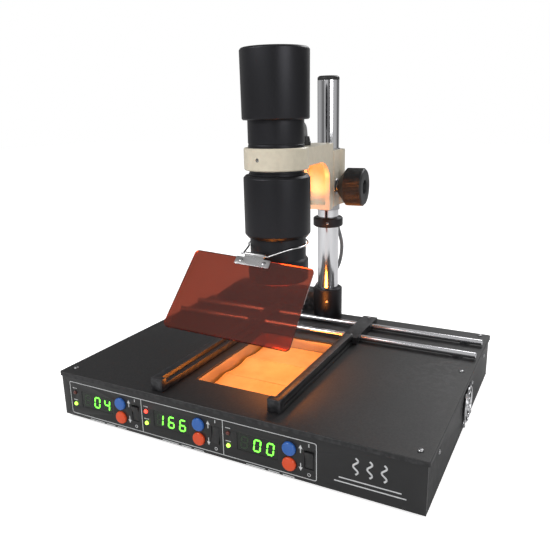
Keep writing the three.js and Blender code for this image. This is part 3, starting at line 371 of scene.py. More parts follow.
# ------------------------------------------------------------------ finished pieces
def shaded(mesh):
    mesh.shade_smooth()
    mesh.set_sharp_from_angle(angle=SMOOTH_ANGLE)


def finished(name, shape, body, material, stands_for=(), place=IDENTITY):
    """A piece in metres at its place, riding its body, in its finish."""
    mesh = mesh_of(shape, name)
    mesh.transform(Matrix.Scale(MILLIMETRE, 4) @ place)
    mesh.validate()
    mesh.materials.clear()
    mesh.materials.append(bpy.data.materials[material])
    shaded(mesh)
    return settled(linked(name, mesh), body, stands_for)


def settled(obj, body, stands_for=()):
    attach(obj, body)
    if stands_for:
        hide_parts(*stands_for)
    return obj


# ------------------------------------------------------------------ geometry nodes
def wired(links, *wires):
    """Links node to node; each wire is a node, its output, the next node and its input."""
    for source, output, target, entry in wires:
        links.new(source.outputs[output], target.inputs[entry])


def tree_with(name, inputs, output):
    tree = bpy.data.node_groups.new(name, "GeometryNodeTree")
    for label, kind in inputs:
        tree.interface.new_socket(label, in_out="INPUT", socket_type=kind)
    tree.interface.new_socket(output, in_out="OUTPUT", socket_type="NodeSocketGeometry")
    return tree, tree.nodes.new("NodeGroupInput"), tree.nodes.new("NodeGroupOutput")


def ended(tree, geometry, group_in, group_out):
    """Realizes the instances, sets the finish and ends the tree."""
    real = tree.nodes.new("GeometryNodeRealizeInstances")
    paint = tree.nodes.new("GeometryNodeSetMaterial")
    tree.links.new(geometry, real.inputs["Geometry"])
    wired(tree.links, (real, "Geometry", paint, "Geometry"), (group_in, "Finish", paint, "Material"),
          (paint, "Geometry", group_out, 0))
    return tree


def tube_tree():
    """A round tube along each line of a mesh."""
    tree, start, end = tree_with("Tube along a line", (
        ("Line", "NodeSocketGeometry"), ("Radius", "NodeSocketFloat"), ("Sides", "NodeSocketInt"),
        ("Finish", "NodeSocketMaterial")), "Tube")
    curve = tree.nodes.new("GeometryNodeMeshToCurve")
    section = tree.nodes.new("GeometryNodeCurvePrimitiveCircle")
    sweep = tree.nodes.new("GeometryNodeCurveToMesh")
    sweep.inputs["Fill Caps"].default_value = True
    wired(tree.links, (start, "Line", curve, "Mesh"), (start, "Radius", section, "Radius"),
          (start, "Sides", section, "Resolution"), (curve, "Curve", sweep, "Curve"),
          (section, "Curve", sweep, "Profile Curve"))
    return ended(tree, sweep.outputs["Mesh"], start, end)


def copies_tree():
    """A copy of one piece on each point, standing along the point's direction."""
    tree, start, end = tree_with("Copies on points", (
        ("Points", "NodeSocketGeometry"), ("Piece", "NodeSocketObject"),
        ("Finish", "NodeSocketMaterial")), "Copies")
    piece = tree.nodes.new("GeometryNodeObjectInfo")
    stand = tree.nodes.new("GeometryNodeInputNamedAttribute")
    stand.data_type = "FLOAT_VECTOR"
    stand.inputs["Name"].default_value = "direction"
    align = tree.nodes.new("FunctionNodeAlignRotationToVector")
    align.axis = "Z"
    copies = tree.nodes.new("GeometryNodeInstanceOnPoints")
    wired(tree.links, (start, "Piece", piece, "Object"), (stand, "Attribute", align, "Vector"),
          (start, "Points", copies, "Points"), (piece, "Geometry", copies, "Instance"),
          (align, "Rotation", copies, "Rotation"))
    return ended(tree, copies.outputs["Instances"], start, end)


def ribs_tree():
    """Straight ribs round a barrel that lies along Z, each with one edge outwards."""
    tree, start, end = tree_with("Ribs round a barrel", (
        ("Barrel", "NodeSocketGeometry"), ("Count", "NodeSocketInt"), ("Radius", "NodeSocketFloat"),
        ("Width", "NodeSocketFloat"), ("Length", "NodeSocketFloat"), ("Height", "NodeSocketFloat"),
        ("Finish", "NodeSocketMaterial")), "Ribs")
    circle = tree.nodes.new("GeometryNodeMeshCircle")
    rib = tree.nodes.new("GeometryNodeMeshCylinder")
    rib.inputs["Vertices"].default_value = 4
    copies = tree.nodes.new("GeometryNodeInstanceOnPoints")
    align = tree.nodes.new("FunctionNodeAlignRotationToVector")
    align.axis = "X"
    position = tree.nodes.new("GeometryNodeInputPosition")
    raised = tree.nodes.new("GeometryNodeTransform")
    offset = tree.nodes.new("ShaderNodeCombineXYZ")
    both = tree.nodes.new("GeometryNodeJoinGeometry")
    wired(tree.links, (start, "Count", circle, "Vertices"), (start, "Radius", circle, "Radius"),
          (start, "Width", rib, "Radius"), (start, "Length", rib, "Depth"),
          (circle, "Mesh", copies, "Points"), (rib, "Mesh", copies, "Instance"),
          (position, "Position", align, "Vector"), (align, "Rotation", copies, "Rotation"),
          (start, "Height", offset, "Z"), (copies, "Instances", raised, "Geometry"),
          (offset, "Vector", raised, "Translation"), (start, "Barrel", both, "Geometry"),
          (raised, "Geometry", both, "Geometry"))
    return ended(tree, both.outputs["Geometry"], start, end)


def grown(obj, tree, **values):
    """Runs a tree on an object with its named inputs set, and keeps the result as a plain mesh."""
    modifier = obj.modifiers.new(tree.name, "NODES")
    modifier.node_group = tree
    named = {item.name: item.identifier for item in tree.interface.items_tree if item.in_out == "INPUT"}
    for label, value in values.items():
        modifier[named[label]] = value
    mesh = evaluated(obj)
    obj.modifiers.remove(modifier)
    obj.data = mesh
    return obj


def tree_named(name, maker):
    return bpy.data.node_groups.get(name) or maker()


def line_object(name, lines):
    """A mesh of open or closed lines; each line is its points in millimetres and whether it closes."""
    verts = []
    edges = []
    for points, closed in lines:
        first = len(verts)
        verts += [Vector(p) * MILLIMETRE for p in points]
        edges += [(first + k, first + k + 1) for k in range(len(points) - 1)]
        if closed:
            edges.append((len(verts) - 1, first))
    mesh = bpy.data.meshes.new(name)
    mesh.from_pydata(verts, edges, [])
    return linked(name, mesh)


def tubes(name, lines, radius, material, sides=20):
    """Tubes along lines, as one object in metres that rides on nothing yet."""
    obj = line_object(name, lines)
    grown(obj, tree_named("Tube along a line", tube_tree), Radius=radius * MILLIMETRE, Sides=sides,
          Finish=bpy.data.materials[material])
    shaded(obj.data)
    return obj


def flowing(points, per_span=12):
    """A smooth line through the given points."""
    points = [Vector(p) for p in points]
    ends = [points[0] * 2 - points[1], *points, points[-1] * 2 - points[-2]]
    out = []
    for a, b, c, d in zip(ends, ends[1:], ends[2:], ends[3:]):
        for k in range(per_span):
            t = k / per_span
            out.append(0.5 * (2 * b + (c - a) * t + (2 * a - 5 * b + 4 * c - d) * t ** 2
                              + (3 * b - a - 3 * c + d) * t ** 3))
    out.append(points[-1])
    return out


def screw_head(radius):
    """A pan head with a cross recess, standing on Z, in millimetres."""
    head = turned([(0, -0.6), (radius, -0.6), (radius, 0.5), (radius * 0.8, 1.25), (radius * 0.4, 1.6),
                   (0, 1.7)],
                  0.3, 28)
    arm = radius * 0.52
    slots = [block(-arm, arm, -0.36, 0.36, 0.7, 3), block(-0.36, 0.36, -arm, arm, 0.7, 3)]
    return carved(head, cut=slots, edge=0)


def screws(name, spots, body, radius=None):
    """Screw heads at (point, direction) spots in millimetres, as one piece."""
    pattern = holder(screw_head(radius or sizes().screw_radius / MILLIMETRE), "screw_pattern")
    pattern.data.transform(Matrix.Scale(MILLIMETRE, 4))
    shaded(pattern.data)
    obj = line_object(name, [([point], False) for point, _ in spots])
    stand = obj.data.attributes.new("direction", "FLOAT_VECTOR", "POINT")
    for k, (_, direction) in enumerate(spots):
        stand.data[k].vector = direction
    grown(obj, tree_named("Copies on points", copies_tree), Piece=pattern,
          Finish=bpy.data.materials["machined_steel"])
    dropped(pattern)
    return settled(obj, body)


# ------------------------------------------------------------------ material groups
def arithmetic(nodes, operation):
    node = nodes.new("ShaderNodeMath")
    node.operation = operation
    return node


def shader_group(name, inputs, outputs):
    group = bpy.data.node_groups.new(name, "ShaderNodeTree")
    for label, value in inputs:
        socket = group.interface.new_socket(label, in_out="INPUT", socket_type="NodeSocketFloat")
        socket.default_value = value
    for label in outputs:
        group.interface.new_socket(label, in_out="OUTPUT", socket_type="NodeSocketFloat")
    return group, group.nodes.new("NodeGroupInput"), group.nodes.new("NodeGroupOutput")


def grain_group():
    """Fine surface grain: a height for a bump."""
    group, start, end = shader_group("Grain", (("Scale", 1500.0), ("Softness", 0.5)), ("Height",))
    place = group.nodes.new("ShaderNodeTexCoord")
    noise = group.nodes.new("ShaderNodeTexNoise")
    noise.inputs["Detail"].default_value = 3
    wired(group.links, (place, "Object", noise, "Vector"), (start, "Scale", noise, "Scale"),
          (start, "Softness", noise, "Roughness"), (noise, "Fac", end, "Height"))
    return group


def wear_group():
    """A mask that is 1 on worn edges and 0 elsewhere."""
    group, start, end = shader_group("Edge wear", (("Edge", 0.53), ("Amount", 0.6), ("Scale", 160.0)),
                                     ("Mask",))
    shape = group.nodes.new("ShaderNodeNewGeometry")
    edge = group.nodes.new("ShaderNodeMapRange")
    edge.inputs["To Max"].default_value = 1.0
    top = arithmetic(group.nodes, "ADD")
    top.inputs[1].default_value = 0.08
    place = group.nodes.new("ShaderNodeTexCoord")
    noise = group.nodes.new("ShaderNodeTexNoise")
    noise.inputs["Detail"].default_value = 5
    patch = group.nodes.new("ShaderNodeMapRange")
    patch.inputs["From Min"].default_value = 0.42
    patch.inputs["From Max"].default_value = 0.62
    both = arithmetic(group.nodes, "MULTIPLY")
    scaled = arithmetic(group.nodes, "MULTIPLY")
    wired(group.links, (shape, "Pointiness", edge, "Value"), (start, "Edge", edge, "From Min"),
          (start, "Edge", top, 0), (top, 0, edge, "From Max"), (place, "Object", noise, "Vector"),
          (start, "Scale", noise, "Scale"), (noise, "Fac", patch, "Value"), (edge, "Result", both, 0),
          (patch, "Result", both, 1), (both, 0, scaled, 0), (start, "Amount", scaled, 1),
          (scaled, 0, end, "Mask"))
    return group


def smudge_group():
    """Broad uneven patches, from 0 to 1."""
    group, start, end = shader_group("Smudges", (("Scale", 14.0), ("Contrast", 0.25)), ("Mask",))
    place = group.nodes.new("ShaderNodeTexCoord")
    noise = group.nodes.new("ShaderNodeTexNoise")
    noise.inputs["Detail"].default_value = 6
    noise.inputs["Roughness"].default_value = 0.62
    low = arithmetic(group.nodes, "SUBTRACT")
    low.inputs[0].default_value = 0.5
    high = arithmetic(group.nodes, "ADD")
    high.inputs[0].default_value = 0.5
    spread = group.nodes.new("ShaderNodeMapRange")
    wired(group.links, (place, "Object", noise, "Vector"), (start, "Scale", noise, "Scale"),
          (start, "Contrast", low, 1), (start, "Contrast", high, 1), (low, 0, spread, "From Min"),
          (high, 0, spread, "From Max"), (noise, "Fac", spread, "Value"), (spread, "Result", end, "Mask"))
    return group


def brush_group():
    """Drawn or turned marks: a noise stretched by its scales along X, Y and Z."""
    group, start, end = shader_group("Tool marks", (("X", 60.0), ("Y", 60.0), ("Z", 2500.0)), ("Height",))
    place = group.nodes.new("ShaderNodeTexCoord")
    stretch = group.nodes.new("ShaderNodeVectorMath")
    stretch.operation = "MULTIPLY"
    scale = group.nodes.new("ShaderNodeCombineXYZ")
    noise = group.nodes.new("ShaderNodeTexNoise")
    noise.inputs["Scale"].default_value = 1
    noise.inputs["Detail"].default_value = 2
    for axis in "XYZ":
        group.links.new(start.outputs[axis], scale.inputs[axis])
    wired(group.links, (place, "Object", stretch, 0), (scale, "Vector", stretch, 1),
          (stretch, "Vector", noise, "Vector"), (noise, "Fac", end, "Height"))
    return group


class Finish:
    """One procedural material, put together step by step."""

    def __init__(self, name, colour, rough, metal=0.0):
        self.material = bpy.data.materials.new(name)
        self.material.use_nodes = True
        self.nodes = self.material.node_tree.nodes
        self.links = self.material.node_tree.links
        self.shader = self.nodes["Principled BSDF"]
        self.colour = (*colour, 1)
        self.shader.inputs["Base Color"].default_value = self.colour
        self.shader.inputs["Roughness"].default_value = rough
        self.shader.inputs["Metallic"].default_value = metal
        self.rough = rough
        self.bump = None
        self.paint = None

    def set(self, **values):
        for label, value in values.items():
            self.shader.inputs[label.replace("_", " ")].default_value = value
        return self

    def group(self, name, maker, **values):
        node = self.nodes.new("ShaderNodeGroup")
        node.node_tree = tree_named(name, maker)
        for label, value in values.items():
            node.inputs[label].default_value = value
        return node

    def height(self, source, strength, distance):
        """Adds a bump from a height, on top of the bumps before it."""
        bump = self.nodes.new("ShaderNodeBump")
        bump.inputs["Strength"].default_value = strength
        bump.inputs["Distance"].default_value = distance
        self.links.new(source, bump.inputs["Height"])
        if self.bump:
            self.links.new(self.bump.outputs["Normal"], bump.inputs["Normal"])
        self.links.new(bump.outputs["Normal"], self.shader.inputs["Normal"])
        self.bump = bump
        return self

    def grain(self, scale, strength, distance=0.0001):
        return self.height(self.group("Grain", grain_group, Scale=scale).outputs["Height"], strength,
                           distance)

    def marks(self, x, y, z, strength, distance=0.00003):
        node = self.group("Tool marks", brush_group, X=x, Y=y, Z=z)
        return self.height(node.outputs["Height"], strength, distance)

    def mixed(self, mask, colour):
        """Lays another colour over the base colour where the mask is 1."""
        mix = self.nodes.new("ShaderNodeMix")
        mix.data_type = "RGBA"
        self.links.new(mask, mix.inputs["Factor"])
        if self.paint:
            self.links.new(self.paint, mix.inputs["A"])
        else:
            mix.inputs["A"].default_value = self.colour
        mix.inputs["B"].default_value = (*colour, 1)
        self.paint = mix.outputs["Result"]
        self.links.new(self.paint, self.shader.inputs["Base Color"])
        return self

    def wear(self, colour, amount, edge=0.53, scale=160.0):
        node = self.group("Edge wear", wear_group, Edge=edge, Amount=amount, Scale=scale)
        return self.mixed(node.outputs["Mask"], colour)

    def smudges(self, scale, rough_span, colour=None, amount=0.25):
        """Uneven gloss, and a tone that follows it."""
        node = self.group("Smudges", smudge_group, Scale=scale, Contrast=amount)
        spread = self.nodes.new("ShaderNodeMapRange")
        spread.inputs["To Min"].default_value = self.rough - rough_span
        spread.inputs["To Max"].default_value = self.rough + rough_span
        self.links.new(node.outputs["Mask"], spread.inputs["Value"])
        self.links.new(spread.outputs["Result"], self.shader.inputs["Roughness"])
        if colour:
            self.mixed(node.outputs["Mask"], colour)
        return self

    def dust(self, colour, amount):
        """Pale dust on what faces up."""
        shape = self.nodes.new("ShaderNodeNewGeometry")
        split = self.nodes.new("ShaderNodeSeparateXYZ")
        up = self.nodes.new("ShaderNodeMapRange")
        up.inputs["From Min"].default_value = 0.6
        specks = self.group("Smudges", smudge_group, Scale=420.0, Contrast=0.12)
        both = arithmetic(self.nodes, "MULTIPLY")
        scaled = arithmetic(self.nodes, "MULTIPLY")
        scaled.inputs[1].default_value = amount
        wired(self.links, (shape, "Normal", split, "Vector"), (split, "Z", up, "Value"),
              (up, "Result", both, 0), (specks, "Mask", both, 1), (both, 0, scaled, 0))
        return self.mixed(scaled.outputs[0], colour)


def tint(colour, factor):
    return tuple(min(1.0, c * factor) for c in colour)


def make_finishes():
    """Every finish on the station."""
    black, cream = tuple(colours().black), tuple(colours().cream)
    glow, digit = tuple(colours().glow), tuple(colours().digit)
    coat = Finish("powder_coat", black, 0.5).grain(1400.0, 0.3).smudges(9.0, 0.03, tint(black, 1.25))
    coat.wear((0.12, 0.12, 0.125), 0.4).dust((0.10, 0.095, 0.09), 0.12)
    panel = Finish("panel_film", (0.008, 0.008, 0.009), 0.36).grain(2600.0, 0.2, 0.00005)
    panel.smudges(30.0, 0.06, (0.014, 0.014, 0.015))
    anodised = Finish("black_anodised", (0.014, 0.014, 0.0155), 0.38, 0.35).marks(20.0, 20.0, 2600.0, 0.35)
    anodised.smudges(26.0, 0.06, (0.024, 0.024, 0.026)).wear((0.2, 0.2, 0.205), 0.45, 0.55)
    bars = Finish("anodised_bar", (0.012, 0.012, 0.0135), 0.36, 0.3).marks(1800.0, 20.0, 1800.0, 0.3)
    bars.smudges(30.0, 0.06, (0.022, 0.022, 0.024)).wear((0.16, 0.16, 0.17), 0.4)
    enamel = Finish("cream_enamel", cream, 0.34).grain(480.0, 0.14, 0.00012)
    enamel.smudges(22.0, 0.06, tint(cream, 0.94)).wear((0.42, 0.37, 0.29), 0.15, 0.56).set(Coat_Weight=0.25)
    steel = Finish("polished_steel", (0.4, 0.4, 0.41), 0.18, 1.0).marks(900.0, 900.0, 30.0, 0.12)
    steel.smudges(40.0, 0.05, (0.34, 0.34, 0.35))
    rails = Finish("ground_rail", (0.72, 0.72, 0.74), 0.16, 1.0).marks(30.0, 1200.0, 1200.0, 0.12)
    rails.smudges(40.0, 0.05, (0.62, 0.62, 0.64))
    stainless = Finish("brushed_stainless", (0.56, 0.56, 0.57), 0.3, 1.0).marks(30.0, 1600.0, 1600.0, 0.3)
    stainless.smudges(25.0, 0.07, (0.45, 0.44, 0.43))
    machined = Finish("machined_steel", (0.45, 0.45, 0.46), 0.3, 1.0).marks(1500.0, 1500.0, 60.0, 0.25)
    machined.smudges(60.0, 0.08, (0.36, 0.36, 0.37))
    plastic = Finish("moulded_plastic", (0.011, 0.011, 0.012), 0.48).grain(1900.0, 0.25, 0.00006)
    plastic.smudges(35.0, 0.07, (0.02, 0.02, 0.021)).wear((0.07, 0.07, 0.07), 0.4)
    rubber = Finish("rubber", (0.012, 0.012, 0.012), 0.78).grain(1200.0, 0.5)
    rubber.smudges(50.0, 0.08, (0.022, 0.022, 0.022))
    lead = Finish("grey_lead", (0.19, 0.195, 0.2), 0.5).grain(900.0, 0.25)
    lead.smudges(90.0, 0.08, (0.14, 0.14, 0.145))
    hot = Finish("hot_ceramic", (0.5, 0.3, 0.13), 0.6).grain(700.0, 0.4)
    hot.smudges(26.0, 0.1, (0.34, 0.17, 0.06))
    lit(hot, glow, 0.4, 34.0)
    green = Finish("board_green", (0.012, 0.10, 0.05), 0.4).smudges(400.0, 0.12, (0.02, 0.15, 0.07), 0.08)
    green.grain(900.0, 0.4)
    coil = Finish("copper_coil", (0.42, 0.17, 0.06), 0.35, 0.6).marks(60.0, 60.0, 3000.0, 0.5)
    coil.smudges(60.0, 0.08, (0.3, 0.12, 0.05))
    shield = Finish("tinted_sheet", tuple(colours().shield), 0.06).smudges(30.0, 0.03)
    shield.set(Transmission_Weight=0.88, IOR=1.49)
    shield.grain(120.0, 0.03, 0.0002)
    glass = Finish("clear_glass", (0.93, 0.96, 0.97), 0.04).smudges(60.0, 0.03)
    glass.set(Transmission_Weight=1.0, IOR=1.5)
    bulb = Finish("lit_bulb", (1.0, 0.75, 0.45), 0.3).smudges(200.0, 0.1, (1.0, 0.6, 0.3))
    lit(bulb, (1.0, 0.62, 0.28), 14.0, 90.0)
    for name, colour in (("button_blue", colours().blue), ("button_orange", colours().orange)):
        cap = Finish(name, tuple(colour), 0.28).grain(1500.0, 0.08, 0.00004)
        cap.smudges(120.0, 0.07, tint(colour, 0.75)).set(Coat_Weight=0.3)
    window = Finish("display_window", (0.006, 0.008, 0.006), 0.2).grain(1500.0, 0.04, 0.00003)
    window.smudges(80.0, 0.05, (0.01, 0.014, 0.01))
    dark = Finish("unlit_segment", (0.012, 0.03, 0.012), 0.35).grain(1500.0, 0.05, 0.00003)
    dark.smudges(120.0, 0.06, (0.016, 0.04, 0.014))
    for name, colour, rough, patch, shine, strength in (
            ("lit_segment", (0.1, 0.5, 0.05), 0.4, (0.14, 0.6, 0.06), digit, 2.6),
            ("lamp_red", (0.6, 0.02, 0.01), 0.3, (0.7, 0.04, 0.02), (1.0, 0.05, 0.03), 4.0),
            ("lamp_green", (0.2, 0.5, 0.04), 0.3, (0.3, 0.6, 0.05), (0.45, 1.0, 0.08), 3.0)):
        lit(Finish(name, colour, rough).smudges(300.0, 0.1, patch), shine, strength, 500.0)
    off = Finish("lamp_off", (0.10, 0.02, 0.018), 0.3).grain(1500.0, 0.06, 0.00003)
    off.smudges(300.0, 0.08, (0.14, 0.03, 0.02)).set(Coat_Weight=0.4)
    ink = Finish("white_print", (0.72, 0.73, 0.74), 0.5).grain(2500.0, 0.15, 0.00003)
    ink.smudges(160.0, 0.08, (0.52, 0.53, 0.54))
    brass = Finish("brass_pin", (0.7, 0.5, 0.2), 0.3, 1.0).marks(900.0, 900.0, 60.0, 0.2)
    brass.smudges(90.0, 0.08, (0.55, 0.38, 0.15))
    mirror = Finish("reflector_mirror", (0.86, 0.82, 0.76), 0.1, 1.0).marks(20.0, 20.0, 1500.0, 0.1)
    mirror.smudges(60.0, 0.04, (0.8, 0.72, 0.6))


def lit(finish, colour, strength, scale):
    """Makes a finish give light, a little stronger in some patches."""
    node = finish.group("Smudges", smudge_group, Scale=scale, Contrast=0.35)
    mix = finish.nodes.new("ShaderNodeMix")
    mix.data_type = "RGBA"
    mix.inputs["A"].default_value = (*tint(colour, 0.82), 1)
    mix.inputs["B"].default_value = (*colour, 1)
    finish.links.new(node.outputs["Mask"], mix.inputs["Factor"])
    finish.links.new(mix.outputs["Result"], finish.shader.inputs["Emission Color"])
    finish.shader.inputs["Emission Strength"].default_value = strength


CAD_FINISHES = {
    "lid": "powder_coat",
    "heater_well": "brushed_stainless",
    "control_board": "board_green",
    "transformer": "copper_coil",
    "focus_rack": "machined_steel",
    "shield_plate": "tinted_sheet",
}


def paint_frame():
    """The frame's own nodes that stay in view get their finishes."""
    for node, material in CAD_FINISHES.items():
        obj = frame["nodes"][node]
        obj.data.materials.clear()
        obj.data.materials.append(bpy.data.materials[material])


# ------------------------------------------------------------------ base
def make_base():
    for node in ("base_tray", "rear_box"):
        finished(f"{node}_shell", softened(node), "root", "powder_coat", [node])
    for k in range(1, 5):
        centre = middle(f"foot_{k}")
        low, high = span(f"foot_{k}")
        radius = (high.x - low.x) / 2
        profile = [(0, low.z), (radius - 2.2, low.z), (radius - 1, low.z + 0.6), (radius, high.z),
                   (0, high.z)]
        finished(f"rubber_foot_{k}", turned(profile, 0.5, 48), "root", "rubber",
                 [f"foot_{k}"], Matrix.Translation((centre.x, centre.y, 0)))


def make_screws():
    """Lid, side and rear screws."""
    low, high = span("lid")
    top = LID_TOP + 0.5
    columns = (low.x + 13.5, high.x - 13.5)
    rows = (low.y + 16.5, (low.y + high.y) / 2 + 36, high.y - 9.5)
    screws("lid_screws", [((x, y, top), UP) for x in columns for y in rows], "root")
    side = span("base_tray")[1].x + 0.5
    guard = middle("fan_guard")
    eye = 20.0
    spots = [((side + 1.9, guard.y + a * eye, guard.z + b * eye), RIGHT) for a in (-1, 1) for b in (-1, 1)]
    screws("fan_screws", spots, "root", 2.4)
    spots = [((way * side, y, 52.0), way * RIGHT) for way in (1, -1) for y in (-150.0, 120.0)]
    screws("side_screws", spots, "root", 2.6)
    box_low, box_high = span("rear_box")
    spots = [((x, box_high.y - 6, box_high.z + 0.5), UP) for x in (box_low.x + 70, box_high.x - 12)]
    screws("rear_box_screws", spots, "root", 2.6)


# ------------------------------------------------------------------ panel
PANEL_OFFSETS = {"display": -39.3, "lamps": -76.7, "rocker": 23.4, "arrows": 13.6}
LAMP_HEIGHTS = (39.0, 23.5)
LAMP_HOLE = 2.6
BUTTON_HOLE = 8.3
DISPLAY_HEIGHT = 32.4
DIGIT_HEIGHT = 15.8
DIGIT_WIDTH = 9.6
DIGIT_PITCH = 16.4
STROKE = 1.9


def module_x(k):
    """Middle of a module's buttons."""
    return middle(f"up_button_{k}").x


def part_x(k, part):
    """Middle of one of a module's other parts."""
    return module_x(k) + PANEL_OFFSETS[part]


def plate(points, y, thickness):
    """A thin plate in X and Z, its front towards the operator."""
    return prism(points, y - thickness, y, "y")


def stroke_line(a, b, width):
    """A straight line of print as four points."""
    a, b = Vector(a), Vector(b)
    along = (b - a).normalized()
    side = Vector((-along.y, along.x)) * width / 2
    return [a + side, a - side, b - side, b + side]


def segment_points(name, x, z):
    """The six corners of one display segment, for a digit centred at x and z."""
    half_w, half_h = DIGIT_WIDTH / 2, DIGIT_HEIGHT / 2
    t = STROKE / 2
    gap = 0.35
    flat = {"a": half_h - t, "g": 0, "d": -half_h + t}
    upright = {"b": (1, 1), "c": (1, -1), "e": (-1, -1), "f": (-1, 1)}
    if name in flat:
        end = half_w - t - gap
        level = flat[name]
        points = [(-end, level), (-end + t, level + t), (end - t, level + t), (end, level),
                  (end - t, level - t), (-end + t, level - t)]
    else:
        side, half = upright[name]
        centre = side * (half_w - t)
        low, high = sorted((half * gap, half * (half_h - t - gap)))
        points = [(centre, low), (centre + t, low + t), (centre + t, high - t), (centre, high),
                  (centre - t, high - t), (centre - t, low + t)]
    lean = math.tan(sizes().digit_slant)
    return [(x + px + pz * lean, z + pz) for px, pz in points]


def make_displays():
    """Dark windows with three digits each, and the indicator lamps."""
    node = span("display_board")
    face = PANEL_FACE + 0.4
    back = node[1].y
    windows, lit_parts, dark_parts, lamps = [], [], [], {"red": [], "green": [], "off": []}
    for k in MODULES:
        x, z = part_x(k, "display"), DISPLAY_HEIGHT
        outline = round_corners(x - 25.5, x + 25.5, z - 10.5, z + 10.5, 0.8)
        windows.append(prism(outline, face, back - 1, "y"))
        for place, sign in enumerate(READINGS[k]):
            centre = x + (place - 1) * DIGIT_PITCH
            for name in "abcdefg":
                points = segment_points(name, centre, z)
                target = lit_parts if name in SEGMENTS[sign] else dark_parts
                target.append(plate(points, face, 0.12))
        for row, z_lamp in enumerate(LAMP_HEIGHTS):
            dome = turned([(0, -4), (2.4, -4), (2.4, 0.6), (2.1, 1.3), (1.3, 1.9), (0, 2.2)], 0.3, 40)
            place = Matrix.Translation((part_x(k, "lamps"), PANEL_FACE, z_lamp))
            state = {(2, 0): "red", (2, 1): "green", (3, 1): "green", (1, 1): "green"}.get((k, row), "off")
            lamps[state].append(moved(dome, place @ TOWARDS_FRONT))
    board = merged([block(node[0].x, node[1].x, back - 1.6, back, node[0].z, node[1].z)])
    finished("display_pcb", board, "root", "board_green", ["display_board"])
    finished("display_windows", merged(windows), "root", "display_window")
    finished("lit_digits", merged(lit_parts), "root", "lit_segment")
    finished("dark_digits", merged(dark_parts), "root", "unlit_segment")
    for state, shapes in lamps.items():
        finished(f"indicator_{state}", merged(shapes), "root", f"lamp_{state}")


def make_panel():
    """The front plate with round holes for its controls."""
    low, high = span("front_panel")
    cuts = []
    for k in MODULES:
        for node in (f"up_button_{k}", f"down_button_{k}"):
            centre = middle(node)
            spot = Matrix.Translation((centre.x, low.y, centre.z))
            cuts.append(moved(bar(BUTTON_HOLE, -10, 10), spot @ ALONG_Y))
        for z in LAMP_HEIGHTS:
            spot = Matrix.Translation((part_x(k, "lamps"), low.y, z))
            cuts.append(moved(bar(LAMP_HOLE, -10, 10, 32), spot @ ALONG_Y))
        for part, half, foot, head in (("display", 25.8, 21.6, 43.2), ("rocker", 5.4, 21.2, 42.8)):
            x = part_x(k, part)
            cuts.append(block(x - half, x + half, low.y - 5, high.y + 5, foot, head))
    plate_shape = carved(block(low.x, high.x, low.y, high.y, low.z, high.z), cut=cuts, edge=0.25)
    finished("front_plate", plate_shape, "root", "panel_film", ["front_panel"])


def make_print():
    """White lines, arrows and marks on the panel; there is no lettering but the bars and rings."""
    width = sizes().line_width / MILLIMETRE
    y = PANEL_FACE - 0.02
    depth = 0.08
    left = module_x(1) - 84.8
    right = module_x(3) + 32.3
    bottom, top = 9.0, 54.0
    parts = []

    def draw(a, b, thick=width):
        parts.append(plate(stroke_line(a, b, thick), y, depth))

    outer = round_corners(left, right, bottom, top, 3.0, 5)
    inner = round_corners(left + width, right - width, bottom + width, top - width, 3.0 - width, 5)
    for k in range(len(outer)):
        n = (k + 1) % len(outer)
        parts.append(plate([outer[k], outer[n], inner[n], inner[k]], y, depth))
    for k in (1, 2):
        x = module_x(k) + 33.5
        draw((x, bottom + width), (x, top - width))
    for k in MODULES:
        x = part_x(k, "arrows")
        for z, way in ((43.5, 1), (21.5, -1)):
            parts.append(plate([(x - 2.3, z), (x + 2.3, z), (x, z + way * 4.6)], y, depth))
            draw((x, z), (x, z - way * 5.0), width * 1.3)
        rocker_x = part_x(k, "rocker")
        draw((rocker_x, 47.4), (rocker_x, 51.2), width * 1.2)
        for n in range(20):
            a, b = (2 * math.pi * m / 20 for m in (n, n + 1))
            points = [(rocker_x + r * math.cos(t), 14.6 + r * math.sin(t))
                      for r, t in ((2.0, a), (2.0, b), (1.3, b), (1.3, a))]
            parts.append(plate(points, y, depth))
        lamp_x = part_x(k, "lamps")
        for z in (LAMP_HEIGHTS[0] + 6.5, LAMP_HEIGHTS[1] + 5.6):
            draw((lamp_x - 3.4, z), (lamp_x + 3.4, z), width)
        middle_x = module_x(k) - 24
        for start, end in ((-30, -6), (-2, 12), (16, 30)):
            draw((middle_x + start, 6.4), (middle_x + end, 6.4), width * 1.4)
    make_badge(parts, right, y, depth)
    finished("panel_print", merged(parts), "root", "white_print")


def make_badge(parts, right, y, depth):
    """A plain mark at the right end: three rising waves of heat over two rules."""
    edge = span("front_panel")[1].x
    centre = (right + edge) / 2
    for wave in (-1, 0, 1):
        x = centre + wave * 15
        steps = 28
        line = [(x + 2.6 * math.sin(2 * math.pi * n / steps * 1.5),
                 30 + 19 * n / steps) for n in range(steps + 1)]
        for a, b in zip(line, line[1:]):
            parts.append(plate(stroke_line(a, b, 2.0), y, depth))
    for z, half, thick in ((22.5, 33, 1.3), (17.5, 38, 1.3)):
        parts.append(plate(stroke_line((centre - half, z), (centre + half, z), thick), y, depth))


